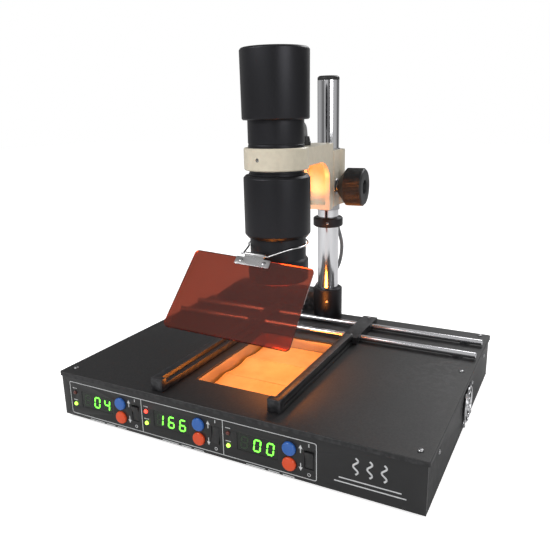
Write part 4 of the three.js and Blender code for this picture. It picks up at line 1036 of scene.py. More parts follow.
def make_controls():
    """Button caps and rockers."""
    for k in MODULES:
        for way, slot in (("up", "button_blue"), ("down", "button_orange")):
            node = f"{way}_button_{k}"
            low, high = span(node)
            centre = middle(node)
            depth = high.y - low.y
            profile = [(0, 0), (5.5, 0.05), (7.2, 0.35), (8, 1.3), (8, depth - 5.6), (9, depth - 5.6),
                       (9, depth - 4.2), (8, depth - 4.2), (8, depth), (0, depth)]
            place = Matrix.Translation((centre.x, low.y, centre.z)) @ ALONG_Y
            finished(f"{way}_cap_{k}", turned(profile, 0.35, 72), node, slot, [node], place)
        finished(f"rocker_cap_{k}", softened(f"rocker_{k}"), f"rocker_{k}",
                 "moulded_plastic", [f"rocker_{k}"])


# ------------------------------------------------------------------ preheater, fan and sockets
def make_heater():
    for k in (1, 2, 3):
        node = f"heater_emitter_{k}"
        low, high = span(node)
        centre = middle(node)
        half = (high.y - low.y) / 2
        top, bottom = high.z, high.z - 10
        steps = 24
        trough = [(half * (1 - 2 * n / steps),
                   top - 3.5 * (1 - (1 - 2 * n / steps) ** 2)) for n in range(steps + 1)]
        outline = [(centre.y + a, b) for a, b in [(-half, bottom), (half, bottom), *trough]]
        tile = prism(outline, low.x, high.x, "x")
        stem = block(centre.x - 9, centre.x + 9, centre.y - 9, centre.y + 9, low.z, bottom + 0.5)
        finished(f"emitter_tile_{k}", carved(tile, add=[stem], edge=1.1, segments=3), "root",
                 "hot_ceramic", [node])


def make_fan():
    low, high = span("fan_housing")
    centre = middle("fan_housing")
    spin = Matrix.Translation((0, centre.y, centre.z))
    frame_plate = prism(round_corners(low.y, high.y, low.z, high.z, 4), low.x, high.x, "x")
    bore = moved(bar(23.5, low.x - 5, high.x + 5, 72), spin @ ALONG_X)
    holes = [moved(bar(1.8, low.x - 5, high.x + 5, 24),
                   Matrix.Translation((0, centre.y + a * 20, centre.z + b * 20)) @ ALONG_X)
             for a in (-1, 1) for b in (-1, 1)]
    ring = carved(frame_plate, cut=[bore, *holes], edge=0.4)
    motor = moved(turned([(0, low.x), (9, low.x), (9, low.x + 2), (0, low.x + 2)], 0.3, 48), spin @ ALONG_X)
    struts = [moved(block(low.x, low.x + 2, 6, 24.5, -2, 2),
                    spin @ Matrix.Rotation(math.radians(120 * k), 4, "X"))
              for k in range(3)]
    finished("fan_frame", merged([ring, motor, *struts]), "root", "moulded_plastic",
             ["fan_housing"])
    low, high = span("fan_rotor")
    hub = moved(turned([(0, low.x), (8.5, low.x), (8.5, low.x + 10), (0, low.x + 10)], 0.8, 48), ALONG_X)
    blades = [moved(blade_shape(low.x + 5), Matrix.Rotation(a, 4, "X")) for a in around(7)]
    finished("fan_blades", merged([hub, *blades]), "fan_rotor", "moulded_plastic",
             ["fan_rotor"], spin)


def blade_shape(x):
    """One curved, twisted fan blade that reaches out along Y."""
    shape = bmesh.new()
    rows = []
    for r in range(9):
        radius = 7.5 + 15 * r / 8
        pitch = math.radians(52 - 20 * r / 8)
        chord = 5.0 + 1.6 * r / 8
        row = []
        for c in range(9):
            along = (c / 8 - 0.5) * 2
            bow = 0.9 * (1 - along ** 2)
            row.append(shape.verts.new((x + chord * along * math.cos(pitch) * 0.72 + bow * 0.5, radius,
                                        chord * along * math.sin(pitch) - bow)))
        rows.append(row)
    for lower, upper in zip(rows, rows[1:]):
        for c in range(8):
            shape.faces.new((lower[c], lower[c + 1], upper[c + 1], upper[c]))
    bmesh.ops.recalc_face_normals(shape, faces=shape.faces)
    bmesh.ops.solidify(shape, geom=shape.faces[:], thickness=0.9)
    bmesh.ops.recalc_face_normals(shape, faces=shape.faces)
    return shape


def make_guard():
    """Domed wire guard: rings on two crossed wires whose ends come down to the base."""
    low, high = span("fan_guard")
    centre = middle("fan_guard")
    wire = 0.9
    outer = high.x - wire
    lines = []
    for radius, drop in ((8, 0), (15, 0.05), (22, 0.35)):
        lines.append(([(outer - drop, centre.y + radius * math.cos(a), centre.z + radius * math.sin(a))
                       for a in around(64)], True))
    for turn in (45, 135):
        c, s = math.cos(math.radians(turn)), math.sin(math.radians(turn))
        reach = [(low.x + wire, -28.5), (low.x + wire, -26.5), (outer - 1.9, -22.5), (outer - 1.75, 0),
                 (outer - 1.9, 22.5), (low.x + wire, 26.5), (low.x + wire, 28.5)]
        lines.append((flowing([(x, centre.y + d * c, centre.z + d * s) for x, d in reach], 6), False))
    settled(tubes("guard_wires", lines, wire, "polished_steel", 14), "root", ["fan_guard"])


def make_sockets():
    finished("inlet_body", softened("mains_inlet"), "root", "moulded_plastic",
             ["mains_inlet"])
    low, high = span("mains_inlet")
    centre = middle("mains_inlet")
    pins = [block(centre.x + x - 0.9, centre.x + x + 0.9, high.y - 18, high.y - 4, centre.z + z - 2,
                  centre.z + z + 2)
            for x, z in ((-7, -2.5), (0, 2.5), (7, -2.5))]
    finished("inlet_pins", carved(pins[0], add=pins[1:], edge=0.3), "root", "brass_pin")
    low, high = span("iron_socket")
    centre = middle("iron_socket")
    place = Matrix.Translation((0, centre.y, centre.z)) @ ALONG_X
    sleeve = turned([(0, high.x), (9, high.x), (9, low.x), (7, low.x), (7, low.x + 11), (0, low.x + 11)],
                    0.3, 64)
    nut = [(11.4 * math.cos(math.radians(60 * k)), 11.4 * math.sin(math.radians(60 * k))) for k in range(6)]
    collar = carved(prism(nut, low.x + 1.1, low.x + 2.7), edge=0.3)
    finished("iron_socket_shell", merged([sleeve, collar]), "root", "machined_steel",
             ["iron_socket"], place)
    pins = []
    for a in around(5):
        spot = Matrix.Translation((3.8 * math.cos(a), 3.8 * math.sin(a), 0))
        pins.append(moved(bar(0.8, low.x + 3, low.x + 11.2, 20), spot))
    finished("iron_socket_pins", merged(pins), "root", "brass_pin", (), place)


# ------------------------------------------------------------------ board holder
def make_holder():
    for node in ("front_rail", "rear_rail"):
        low, high = span(node)
        centre = middle(node)
        profile = [(0, low.x), (3.2, low.x), (4, low.x + 0.8), (4, high.x - 0.8), (3.2, high.x), (0, high.x)]
        finished(f"{node}_rod", turned(profile, 0.2, 48), "root", "ground_rail", [node],
                 Matrix.Translation((0, centre.y, centre.z)) @ ALONG_X)
    for side in ("left", "right"):
        for part in ("slider", "holder_arm"):
            node = f"{side}_{part}"
            finished(f"{node}_bar", softened(node), f"{side}_holder", "anodised_bar",
                     [node])
        low, high = span(f"{side}_slider")
        x = (low.x + high.x) / 2
        spots = [((x, y, high.z + 0.3), UP) for y in (low.y + 8, high.y - 7)]
        screws(f"{side}_slider_screws", spots, f"{side}_holder", 2.6)


# ------------------------------------------------------------------ column
def make_column():
    low, high = span("column")
    profile = [(13.5, low.z), (COLUMN_RADIUS, low.z), (COLUMN_RADIUS, high.z), (13.5, high.z)]
    finished("column_tube", turned(profile, 0.3, 128), "root", "polished_steel",
             ["column"], COLUMN_PLACE)
    low, high = span("column_cap")
    profile = [(0, low.z), (13.2, low.z), (13.2, high.z - 5.9), (COLUMN_RADIUS, high.z - 5.9),
               (COLUMN_RADIUS, high.z - 2.3), (13.6, high.z), (0, high.z)]
    finished("column_plug", turned(profile, 0.5), "root", "moulded_plastic", ["column_cap"],
             COLUMN_PLACE)
    low, high = span("stop_collar")
    radius, chamfer = COLLAR_RADIUS, 2
    profile = [(COLUMN_BORE, low.z), (radius - chamfer, low.z), (radius, low.z + chamfer),
               (radius, high.z - chamfer), (radius - chamfer, high.z), (COLUMN_BORE, high.z)]
    finished("stop_ring", turned(profile, 0.3), "stop_collar", "black_anodised",
             ["stop_collar"], COLUMN_PLACE)
    low, high = span("column_socket")
    shoulder = LID_TOP + 0.3
    profile = [(0, low.z + 0.2), (18.6, low.z + 0.2), (18.6, shoulder), (SOCKET_RADIUS, shoulder),
               (SOCKET_RADIUS, high.z - 1.4), (21, high.z), (COLUMN_BORE, high.z), (COLUMN_BORE, 9.7),
               (0, 9.7)]
    foot = block(-30, 30, -30, 16.6, low.z, low.z + 2.5)
    finished("socket_tube", merged([turned(profile, 0.3), foot]), "root", "black_anodised",
             ["column_socket"], COLUMN_PLACE)
    turn = Matrix.Rotation(math.radians(20), 4, "Z")
    for name, body, radius, z in (("socket_set_screw", "root", SOCKET_RADIUS, 98.0),
                                  ("collar_set_screw", "stop_collar", COLLAR_RADIUS, 222.2)):
        grub = turned([(0, 0.9), (1.1, 0.9), (1.1, 0.2), (2.2, 0.2), (2.2, -2), (0, -2)], 0.15, 32)
        place = COLUMN_PLACE @ turn @ Matrix.Translation((0, -radius, z)) @ TOWARDS_FRONT
        finished(name, grub, body, "machined_steel", (), place)


# ------------------------------------------------------------------ arm
def make_sleeve():
    low, high = span("arm_sleeve")
    tube = turned([(COLUMN_BORE, low.z), (17.6, low.z), (17.6, high.z), (COLUMN_BORE, high.z)], 0.2)
    ear_place = Matrix.Translation((0, EAR_Y, 0))
    ear = moved(bar(5.8, low.z, low.z + 6, 40), ear_place)
    web = block(-5, 5, 16.8, EAR_Y, low.z, low.z + 6)
    hole = moved(bar(3.5, low.z - 5, low.z + 12, 32), ear_place)
    shape = carved(tube, add=[web, ear], cut=[hole], edge=0.3)
    finished("sleeve_tube", shape, "arm_sleeve", "machined_steel", ["arm_sleeve"], ARM)


def groove_outline(clearance, depth):
    """Section of the focusing slide's dovetail."""
    start = SLIDE_BACK - 1
    mouth = 8 + clearance
    root = mouth + 3 / 6.5 * (depth + 1)
    return [(-mouth, start), (mouth, start), (root, SLIDE_BACK + depth), (-root, SLIDE_BACK + depth)]


def make_block():
    low, high = span("column_block")
    bottom, top = low.z, high.z
    boss = turned([(0, bottom), (25, bottom), (25, top), (0, top)], 0)
    front = prism(eased([(-21, -38), (21, -38), (21, 0), (-21, 0)], 3.0, True, 5), bottom, top)
    cuts = [
        bar(17.9, bottom - 5, top + 5, ROUND),
        prism(groove_outline(0.4, 6.7), bottom - 5, top + 5),
        block(-5, 5, -38.5, -29.1, bottom - 5, top + 5),
        moved(bar(4.3, -60, 60, 40), PINION_SPOT @ ALONG_X),
        moved(bar(6.3, -9, 9, 40), PINION_SPOT @ ALONG_X),
        moved(bar(3.3, 15.6, 60, 32), Matrix.Translation((0, 0, 305)) @ ALONG_Y),
    ]
    shape = carved(boss, add=[front], cut=cuts, edge=0.9, segments=3)
    finished("block_casting", shape, "column_block", "cream_enamel", ["column_block"], ARM)
    for side, label in ((-1, "left"), (1, "right")):
        washer = turned([(4.3, 0), (11.5, 0), (11.5, 0.9), (10.6, 1.7), (6.6, 1.7), (6.6, 3.1), (4.3, 3.1)],
                        0.25, 64)
        turn = Matrix.Rotation(math.radians(90 * side), 4, "Y")
        place = ARM @ Matrix.Translation((side * 21, PINION.y, PINION.z)) @ turn
        finished(f"shaft_bearing_{label}", washer, "column_block", "machined_steel", (), place)


def ribbed(name, profile, barrel, body, material, stands_for, place, count, width):
    """A turned knob with straight ribs; barrel is its radius, middle height and length."""
    obj = holder(turned(profile, 0.4), name)
    obj.data.transform(Matrix.Scale(MILLIMETRE, 4))
    obj.data.materials.append(bpy.data.materials[material])
    radius, height, length = (v * MILLIMETRE for v in barrel)
    grown(obj, tree_named("Ribs round a barrel", ribs_tree), Count=count, Radius=radius - width * 0.35,
          Width=width, Length=length, Height=height, Finish=bpy.data.materials[material])
    metres = place.copy()
    metres.translation = place.translation * MILLIMETRE
    obj.data.transform(metres)
    shaded(obj.data)
    return settled(obj, body, stands_for)


def make_knobs():
    ribs, width = sizes().knurl_ribs, sizes().rib_width
    inner, outer = 25.0, 64.0
    radius = 26.4
    profile = [(4.3, inner), (11, inner), (12, inner + 1), (24.0, inner + 10.5), (radius, inner + 12.5),
               (radius, outer - 1.8), (radius - 1.8, outer), (13.5, outer), (12.5, outer - 0.7),
               (10.6, outer - 0.7), (9.6, outer - 7), (4.3, outer - 7)]
    for side, label in ((1, "right"), (-1, "left")):
        turn = Matrix.Rotation(math.radians(90 * side), 4, "Y")
        place = PINION_PLACE @ turn
        node = f"{label}_focus_knob"
        middle_height = (inner + 12.5 + outer - 1.8) / 2
        ribbed(f"{label}_knob", profile, (radius, middle_height, outer - inner - 15.3), "focus_knobs",
               "moulded_plastic", [node], place, ribs, width)
    profile = [(0, 56), (2.2, 56), (3.6, 55.4), (4, 55), (4, -55), (3.6, -55.4), (2.2, -56), (0, -56)]
    shaft = turned(profile, 0.1, 48)
    teeth = []
    for a in around(12):
        tooth = prism([(-0.62, 3.6), (0.62, 3.6), (0.62, 4.05), (0.27, 5.5), (-0.27, 5.5), (-0.62, 4.05)],
                      -5, 5)
        teeth.append(moved(tooth, Matrix.Rotation(a + math.pi / 2, 4, "Z")))
    place = PINION_PLACE @ ALONG_X
    finished("focus_shaft", merged([shaft, *teeth]), "focus_knobs", "polished_steel",
             ["pinion_shaft"], place)
    start = 18.0
    profile = [(0, start), (3, start), (3, 25.4), (7, 26.4), (10.4, 28.4), (10.4, 39.4), (9, 41.4),
               (5, 41.4), (4, 40.6), (0, 40.6)]
    place = ARM @ Matrix.Translation((0, 0, middle("arm_clamp_knob").z)) @ ALONG_Y
    ribbed("clamp_grip", profile, (10.4, 33.9, 10.4), "clamp_knob", "moulded_plastic",
           ["arm_clamp_knob"], place, 30, width)


def make_carrier():
    """The cream casting: slide plate, hollow front, bridge and lamp ring."""
    top, bottom = 342.0, 248.5
    back, face, half = SLIDE_BACK, SLIDE_FACE, 20.0
    underside = 319.0
    reach = -ARM_REACH
    curve = []
    for n in range(13):
        t = n / 12
        p0, p1 = Vector((face - 35.2, underside)), Vector((face, underside - 4))
        p2 = Vector((face, underside - 30.8))
        curve.append(p0 * (1 - t) ** 2 + p1 * 2 * t * (1 - t) + p2 * t * t)
    side = [(back, bottom), (back, top), (reach + 20, top), (reach + 20, underside), *curve, (face, bottom)]
    arm = prism(side, -half, half, "x")
    pocket = prism(pocket_outline(13.0, bottom + 6.5, top - 8), reach, face + 6, "y")
    ring = moved(turned([(0, 320), (37.9, 320), (39.1, 321.2), (39.1, 344.8), (37.9, 346), (0, 346)], 0),
                 Matrix.Translation((0, reach, 0)))
    tongue = prism(groove_outline(0, 5.5), bottom, top)
    cuts = [
        pocket,
        block(-4.8, 4.8, -32.4, -12, bottom - 5, top + 5),
        moved(bar(34.0, 290, 351, ROUND), Matrix.Translation((0, reach, 0))),
        moved(bar(2.4, -60, -30, 32), RING_SCREW @ ALONG_Y),
        moved(bar(3.4, top - 20, top + 5, 32), Matrix.Translation((0, GLAND_Y, 0))),
    ]
    shape = carved(arm, add=[ring, tongue], cut=cuts, edge=0.9, segments=3)
    finished("carrier_casting", shape, "lamp_carrier", "cream_enamel", ["lamp_carrier"], ARM)
    grub = turned([(0, -0.9), (1.0, -0.9), (1.0, -0.1), (2.1, -0.1), (2.1, 2), (0, 2)], 0.1, 32)
    place = ARM @ RING_SCREW @ Matrix.Translation((0, -38.0, 0)) @ ALONG_Y
    finished("ring_set_screw", grub, "lamp_carrier", "machined_steel", (), place)


def pocket_outline(half, bottom, top):
    """The hollow's front view, with a round head."""
    head = 11.0
    arc = [(half - head + head * math.cos(a), top - head + head * math.sin(a))
           for a in (math.pi / 2 * n / 10 for n in range(11))]
    mirrored = [(-x, z) for x, z in reversed(arc)]
    return [(-half, bottom), (half, bottom), *arc, *mirrored]


# ------------------------------------------------------------------ lamp
def lamp_piece(name, shape, node, material="black_anodised"):
    """A piece of the lamp, about the lamp's own axis, riding the carrier."""
    finished(name, shape, "lamp_carrier", material, [node], LAMP_PLACE)


def make_lamp():
    low, high = span("lamp_cap")
    bottom, top = low.z, high.z
    cap = [(0, top - 2.5), (38, top - 2.5), (37.7, bottom + 4), (34, bottom + 4), (34, bottom),
           (38.6, bottom), (40.2, bottom + 1.6), (40.8, top - 2.2), (38.8, top), (36.4, top),
           (35.6, top - 0.8), (0, top - 0.8)]
    lamp_piece("cap_shell", turned(cap, 0.5, 128), "lamp_cap")
    low, high = span("lamp_barrel")
    skin = BARREL_RADIUS
    barrel = [(31.5, low.z), (skin, low.z), (skin, 316.2), (32.9, 316.8), (32.9, 319.4), (skin, 320),
              (skin, 349), (33.2, 349.4), (33.2, 350.6), (skin, 351), (skin, high.z), (31.5, high.z)]
    tube = turned(barrel, 0.3, 128)
    exit_place = Matrix.Rotation(ARM_YAW, 4, "Z") @ Matrix.Translation((0, 0, LEAD_EXIT_Z)) @ ALONG_Y
    hole = moved(bar(3.1, 20, 50, 32), exit_place)
    lamp_piece("barrel_tube", carved(tube, cut=[hole], edge=0), "lamp_barrel")
    low, high = span("lamp_body")
    bottom, top = low.z, high.z
    body = [(34.9, bottom), (37, bottom), (40.5, bottom + 4.5), (40.5, top - 3), (37.5, top), (34, top),
            (34, top - 4), (37.5, top - 4), (37.5, bottom + 5), (34.9, bottom + 5)]
    lamp_piece("body_shell", turned(body, 0.5, 128), "lamp_body")
    low, high = span("lamp_nozzle")
    bottom, top = low.z, high.z
    nozzle = [(27, bottom), (36.3, bottom), (37.5, bottom + 1.2), (37.5, bottom + 26), (35.1, bottom + 29),
              (34.6, bottom + 29), (34.6, top), (32.2, top), (32.2, bottom + 16), (29, bottom + 16),
              (27, bottom + 6)]
    lamp_piece("nozzle_tube", turned(nozzle, 0.4, 128), "lamp_nozzle")
    low, high = span("lamp_lens")
    dome = [(31.9 * math.sin(math.radians(a)),
             low.z + 3.5 + 7.8 * math.cos(math.radians(a))) for a in range(0, 91, 6)]
    lens = [*dome, (31.9, low.z), (0, low.z)]
    lamp_piece("condenser_lens", turned(lens, 0.1, 96), "lamp_lens", "clear_glass")
    low, high = span("lamp_reflector")
    outer = [(8.5 + 21.5 * math.sin(math.radians(a)), low.z + 36 * math.cos(math.radians(a)))
             for a in range(0, 91, 9)]
    inner = [(8.0 + 20.6 * math.sin(math.radians(a)), low.z + 34.4 * math.cos(math.radians(a)))
             for a in range(90, -1, -9)]
    lamp_piece("bowl_reflector", turned([*outer, *inner], 0.1, 72), "lamp_reflector",
               "reflector_mirror")
    low, high = span("lamp_bulb")
    bulb = [(0, low.z), (3.4, low.z + 0.9), (5.4, low.z + 3.4), (6, low.z + 7), (6, low.z + 21),
            (6.7, low.z + 23), (6.7, low.z + 38), (13.8, low.z + 40), (13.8, high.z), (0, high.z)]
    lamp_piece("halogen_bulb", turned(bulb, 0.5, 48), "lamp_bulb", "lit_bulb")


def make_leads():
    """The lamp's lead, in its two stretches, and its gland and grommet."""
    neck = -ARM_REACH + BARREL_RADIUS
    exit_z, gland, gland_top = LEAD_EXIT_Z, GLAND_Y, 354.0
    route = [(0, neck - 3, exit_z), (0, neck + 6, exit_z), (0, neck + 26, exit_z + 7),
             (0, neck + 50, exit_z + 9), (0, gland - 4, exit_z + 4), (0, gland, gland_top + 2),
             (0, gland, gland_top - 5), (0, gland, 330)]
    line = flowing([ARM @ Vector(p) for p in route])
    settled(tubes("upper_lead", [(line, False)], LEAD_RADIUS, "grey_lead"), "lamp_carrier",
            ["lamp_lead_top"])
    foot = span("lamp_gland")[0].z
    nut = turned([(3.4, foot), (7, foot), (7, foot + 4.6), (6.1, foot + 6), (6.1, foot + 7), (5, gland_top),
                  (3.4, gland_top)],
                 0.3, 48)
    place = ARM @ Matrix.Translation((0, gland, 0))
    finished("gland_nut", nut, "lamp_carrier", "moulded_plastic", ["lamp_gland"], place)
    start = ARM @ Vector((0, EAR_Y, 0))
    end = Vector((-42.6, 183.8))
    route = [(start.x, start.y, 250), (start.x, start.y, 235), (start.x + 6, start.y + 3, 210),
             (start.x + 12, start.y + 7, 175), (start.x + 2, start.y + 10, 137), (end.x + 8, end.y, 113),
             (end.x, end.y, 103), (end.x, end.y, 91)]
    obj = tubes("lower_lead", [(flowing(route), False)], LEAD_RADIUS, "grey_lead")
    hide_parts("lamp_lead_drop")
    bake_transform(obj)
    ring = turned([(3.0, 96.5), (5.6, 96.5), (6.2, 97.6), (5.2, 99.2), (3.0, 99.2)], 0.4, 40)
    finished("lead_grommet", ring, "root", "rubber", (),
             Matrix.Translation((end.x, end.y, 0)))


# ------------------------------------------------------------------ eye shield
def shield_place():
    """Where the shield's own axes lie: X along its hinge, Z up the plate."""
    axis = Vector(joint_named("shield_tilt")["axis"])
    yaw = math.atan2(axis.y, axis.x)
    roll = math.asin(-axis.z)
    hinge = Matrix.Rotation(yaw, 4, "Z") @ Matrix.Rotation(roll, 4, "Y")
    turn = hinge @ Matrix.Rotation(SHIELD_LEAN, 4, "X")
    return Matrix.Translation(SHIELD_HINGE) @ turn


def make_shield():
    place = shield_place()
    leaf = prism(round_corners(-21.5, 21.5, -16, -5.0, 1.2), -1.0, -0.1, "y")
    neck = block(-12, 12, -1.0, -0.1, -5.5, 0)
    roll = moved(turned([(1.5, -12), (2.6, -12), (2.6, 12), (1.5, 12)], 0.15, 40), ALONG_X)
    clip = carved(leaf, add=[neck], edge=0.2)
    finished("clip_leaf", merged([clip, roll]), "shield", "brushed_stainless", ["shield_clip"],
             place)
    rivets = []
    for x in (-14.3, 14.3):
        head = [(0, 0.9), (1.2, 0.85), (2.3, 0.5), (2.8, 0), (1.5, 0), (1.5, -4.2), (2.8, -4.2),
                (2.3, -4.7), (0, -4.9)]
        rivets.append(moved(turned(head, 0.15, 32),
                            Matrix.Translation((x, -1.0, -10.5)) @ TOWARDS_FRONT))
    finished("clip_rivets", merged(rivets), "shield", "machined_steel", (), place)
    along = place @ Matrix.Rotation(-SHIELD_LEAN, 4, "X")
    pin = [along @ Vector((x, 0, 0)) for x in (-18.6, 17.0)]
    loop = [along @ Vector((15.2, 0, 0))]
    for turn in (-40, -15, 10, 35, 60, 90, 120, 145, 170, 195, 220):
        angle = math.radians(turn)
        loop.append(Vector((LAMP.x + 37 * math.cos(angle), LAMP.y + 37 * math.sin(angle),
                            229 + 1.5 * math.sin(angle))))
    loop.append(along @ Vector((-15.2, 0, 0)))
    lines = [(pin, False), (flowing(loop), False)]
    settled(tubes("hanger_wire", lines, 1.1, "polished_steel", 16), "shield_hanger",
            ["shield_wire"])


# ------------------------------------------------------------------ stage
# Light that the floor gives to the camera alone, so that its edge fades into the white behind it
FLOOR_GLOW = 0.85


def make_camera():
    view = studio()
    data = bpy.data.cameras.new("view")
    data.lens = view.lens
    data.sensor_width = 36
    camera = linked("view", data)
    a, e = view.azimuth, view.elevation
    ahead = Vector((-math.sin(a) * math.cos(e), math.cos(a) * math.cos(e), -math.sin(e)))
    level = Vector((math.cos(a), math.sin(a), 0))
    raised = level.cross(ahead)
    right = level * math.cos(view.roll) + raised * math.sin(view.roll)
    turn = Matrix((right, right.cross(ahead), -ahead)).transposed().to_4x4()
    camera.matrix_world = Matrix.Translation(view.place) @ turn
    bpy.context.scene.camera = camera


def light(name, kind, place, target, power, colour=(1, 1, 1), **settings):
    data = bpy.data.lights.new(name, kind)
    data.energy = power
    data.color = colour
    for label, value in settings.items():
        setattr(data, label, value)
    aim = (Vector(target) - Vector(place)).to_track_quat("-Z", "Y")
    linked(name, data).matrix_world = Matrix.Translation(place) @ aim.to_matrix().to_4x4()


def make_world():
    """White behind the piece; bright and dim bands round it for the metal to mirror."""
    world = bpy.data.worlds.new("studio")
    bpy.context.scene.world = world
    world.use_nodes = True
    nodes, links = world.node_tree.nodes, world.node_tree.links
    seen = nodes["Background"]
    seen.inputs["Color"].default_value = (1, 1, 1, 1)
    room = nodes.new("ShaderNodeBackground")
    room.inputs["Strength"].default_value = 0.62
    place = nodes.new("ShaderNodeTexCoord")
    split = nodes.new("ShaderNodeSeparateXYZ")
    bands = nodes.new("ShaderNodeValToRGB")
    tones = ((0.0, 0.75), (0.22, 0.16), (0.4, 0.85), (0.58, 1.0), (0.72, 0.12), (0.86, 0.2), (1.0, 0.8))
    widest = nodes.new("ShaderNodeMapRange")
    widest.inputs["From Min"].default_value = -1.0
    path = nodes.new("ShaderNodeLightPath")
    mix = nodes.new("ShaderNodeMixShader")
    ramp = bands.color_ramp.elements
    while len(ramp) < len(tones):
        ramp.new(0.5)
    for element, (where, tone) in zip(ramp, tones):
        element.position = where
        element.color = (tone, tone, tone, 1)
    wired(links, (place, "Generated", split, "Vector"), (split, "X", widest, "Value"),
          (widest, "Result", bands, "Fac"), (bands, "Color", room, "Color"),
          (path, "Is Camera Ray", mix, "Fac"), (room, "Background", mix, 1), (seen, "Background", mix, 2))
    links.new(mix.outputs["Shader"], nodes["World Output"].inputs["Surface"])


def make_stage():
    floor = bmesh.new()
    half = 6.0
    corners = ((-half, -half, 0), (half, -half, 0), (half, half, 0), (-half, half, 0))
    floor.faces.new([floor.verts.new(p) for p in corners])
    mesh = mesh_of(floor, "floor")
    pale = Finish("pale_floor", (0.86, 0.86, 0.86), 0.7).smudges(4.0, 0.04, (0.84, 0.84, 0.84))
    lit(pale, (1.0, 1.0, 1.0), FLOOR_GLOW, 4.0)
    path = pale.nodes.new("ShaderNodeLightPath")
    only_seen = arithmetic(pale.nodes, "MULTIPLY")
    only_seen.inputs[1].default_value = FLOOR_GLOW
    pale.links.new(path.outputs["Is Camera Ray"], only_seen.inputs[0])
    pale.links.new(only_seen.outputs[0], pale.shader.inputs["Emission Strength"])
    mesh.materials.append(bpy.data.materials["pale_floor"])
    linked("floor", mesh)
    make_world()
    bpy.context.scene.view_settings.view_transform = "Standard"
    power = studio().studio_power
    centre = (0.0, 0.0, 0.2)
    light("key", "AREA", (-0.9, -1.3, 1.5), centre, power, shape="RECTANGLE", size=1.2, size_y=0.8)
    light("fill", "AREA", (1.5, -0.9, 1.0), centre, power * 0.45, shape="RECTANGLE", size=1.0, size_y=1.0)
    light("rim", "AREA", (0.5, 1.4, 1.3), centre, power * 0.5, shape="RECTANGLE", size=1.2, size_y=0.6)
    glow = tuple(colours().glow)
    lamp = LAMP * MILLIMETRE
    light("beam", "SPOT", (lamp.x, lamp.y, 0.182), (lamp.x, lamp.y, 0.0), studio().lamp_power, glow,
          spot_size=math.radians(110), spot_blend=0.8, shadow_soft_size=0.02)
    light("heat", "AREA", (lamp.x, lamp.y, 0.058), (lamp.x, lamp.y, 0.3), studio().lamp_power * 0.5, glow,
          shape="RECTANGLE", size=0.08, size_y=0.12)
    source, target = (ARM @ Vector(p) * MILLIMETRE for p in ((0, -112, 244), (0, -48, 296)))
    light("pocket", "SPOT", source, target, studio().lamp_power * 0.3, (1.0, 0.26, 0.03),
          spot_size=math.radians(40), spot_blend=0.6, shadow_soft_size=0.006)


# ------------------------------------------------------------------ operators
class Step:
    """What every operator does: it runs its makers in order."""
    makers = ()

    def execute(self, context):
        for make in self.makers:
            make()
        return {"FINISHED"}


class STATION_OT_camera(Step, bpy.types.Operator):
    """Sets up the camera"""
    bl_idname = "station.camera"
    bl_label = "Camera"
    makers = (make_camera,)


class STATION_OT_finishes(Step, bpy.types.Operator):
    """Makes the finishes and paints the frame's own nodes"""
    bl_idname = "station.finishes"
    bl_label = "Finishes"
    makers = (make_finishes, paint_frame)


class STATION_OT_base(Step, bpy.types.Operator):
    """Makes the tray, rear box, feet and screws"""
    bl_idname = "station.base"
    bl_label = "Base"
    makers = (make_base, make_screws)


class STATION_OT_panel(Step, bpy.types.Operator):
    """Makes the front plate, displays, print, buttons and rockers"""
    bl_idname = "station.panel"
    bl_label = "Front panel"
    makers = (make_panel, make_displays, make_print, make_controls)


class STATION_OT_heater(Step, bpy.types.Operator):
    """Makes the preheater's ceramic tiles"""
    bl_idname = "station.heater"
    bl_label = "Preheater"
    makers = (make_heater,)


class STATION_OT_fan(Step, bpy.types.Operator):
    """Makes the fan and its wire guard"""
    bl_idname = "station.fan"
    bl_label = "Fan"
    makers = (make_fan, make_guard)


class STATION_OT_sockets(Step, bpy.types.Operator):
    """Makes the mains inlet and the iron's socket"""
    bl_idname = "station.sockets"
    bl_label = "Sockets"
    makers = (make_sockets,)


class STATION_OT_holder(Step, bpy.types.Operator):
    """Makes the rails and the sliding board holder"""
    bl_idname = "station.holder"
    bl_label = "Board holder"
    makers = (make_holder,)


class STATION_OT_column(Step, bpy.types.Operator):
    """Makes the column, its socket, cap and stop ring"""
    bl_idname = "station.column"
    bl_label = "Column"
    makers = (make_column,)


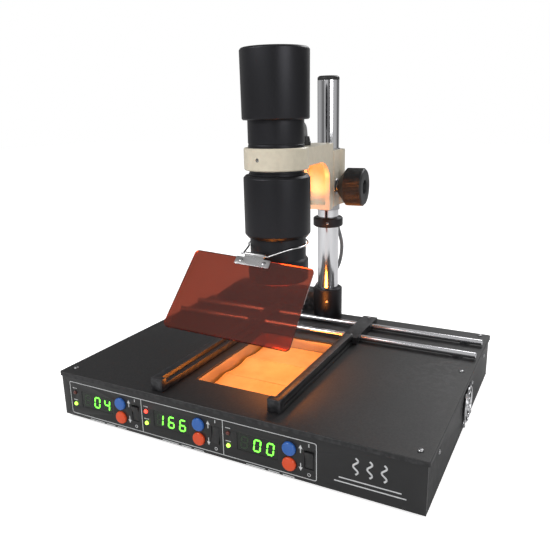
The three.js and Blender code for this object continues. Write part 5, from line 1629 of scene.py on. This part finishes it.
class STATION_OT_arm(Step, bpy.types.Operator):
    """Makes the sleeve, block, carrier, knobs and shaft"""
    bl_idname = "station.arm"
    bl_label = "Focusing arm"
    makers = (make_sleeve, make_block, make_carrier, make_knobs)


class STATION_OT_lamp(Step, bpy.types.Operator):
    """Makes the lamp's shells, lens, reflector and bulb, and its lead"""
    bl_idname = "station.lamp"
    bl_label = "Lamp"
    makers = (make_lamp, make_leads)


class STATION_OT_shield(Step, bpy.types.Operator):
    """Makes the eye shield's clip, rivets and hanger"""
    bl_idname = "station.shield"
    bl_label = "Eye shield"
    makers = (make_shield,)


class STATION_OT_stage(Step, bpy.types.Operator):
    """Makes the floor and the lights"""
    bl_idname = "station.stage"
    bl_label = "Stage"
    makers = (make_stage,)


OPERATORS = (STATION_OT_camera, STATION_OT_finishes, STATION_OT_base, STATION_OT_panel, STATION_OT_heater,
             STATION_OT_fan, STATION_OT_sockets, STATION_OT_holder, STATION_OT_column, STATION_OT_arm,
             STATION_OT_lamp, STATION_OT_shield, STATION_OT_stage)


class STATION_PT_sidebar(bpy.types.Panel):
    """Lists the steps that build the station"""
    bl_idname = "STATION_PT_sidebar"
    bl_label = "Rework Station"
    bl_space_type = "VIEW_3D"
    bl_region_type = "UI"
    bl_category = "Station"

    def draw(self, context):
        for operator in OPERATORS:
            self.layout.operator(operator.bl_idname)
        for group in (sizes(), colours(), studio()):
            for label in group.__annotations__:
                self.layout.prop(group, label)


GROUPS = {"station_sizes": StationSizes, "station_colours": StationColours, "station_studio": StationStudio}


def register():
    for group in GROUPS.values():
        bpy.utils.register_class(group)
    for label, group in GROUPS.items():
        setattr(bpy.types.Scene, label, PointerProperty(type=group))
    for operator in OPERATORS:
        bpy.utils.register_class(operator)
    bpy.utils.register_class(STATION_PT_sidebar)


def unregister():
    bpy.utils.unregister_class(STATION_PT_sidebar)
    for operator in reversed(OPERATORS):
        bpy.utils.unregister_class(operator)
    for label, group in GROUPS.items():
        delattr(bpy.types.Scene, label)
        bpy.utils.unregister_class(group)


def main():
    register()
    for operator in OPERATORS:
        family, step = operator.bl_idname.split(".")
        getattr(getattr(bpy.ops, family), step)()


if __name__ == "__main__":
    main()
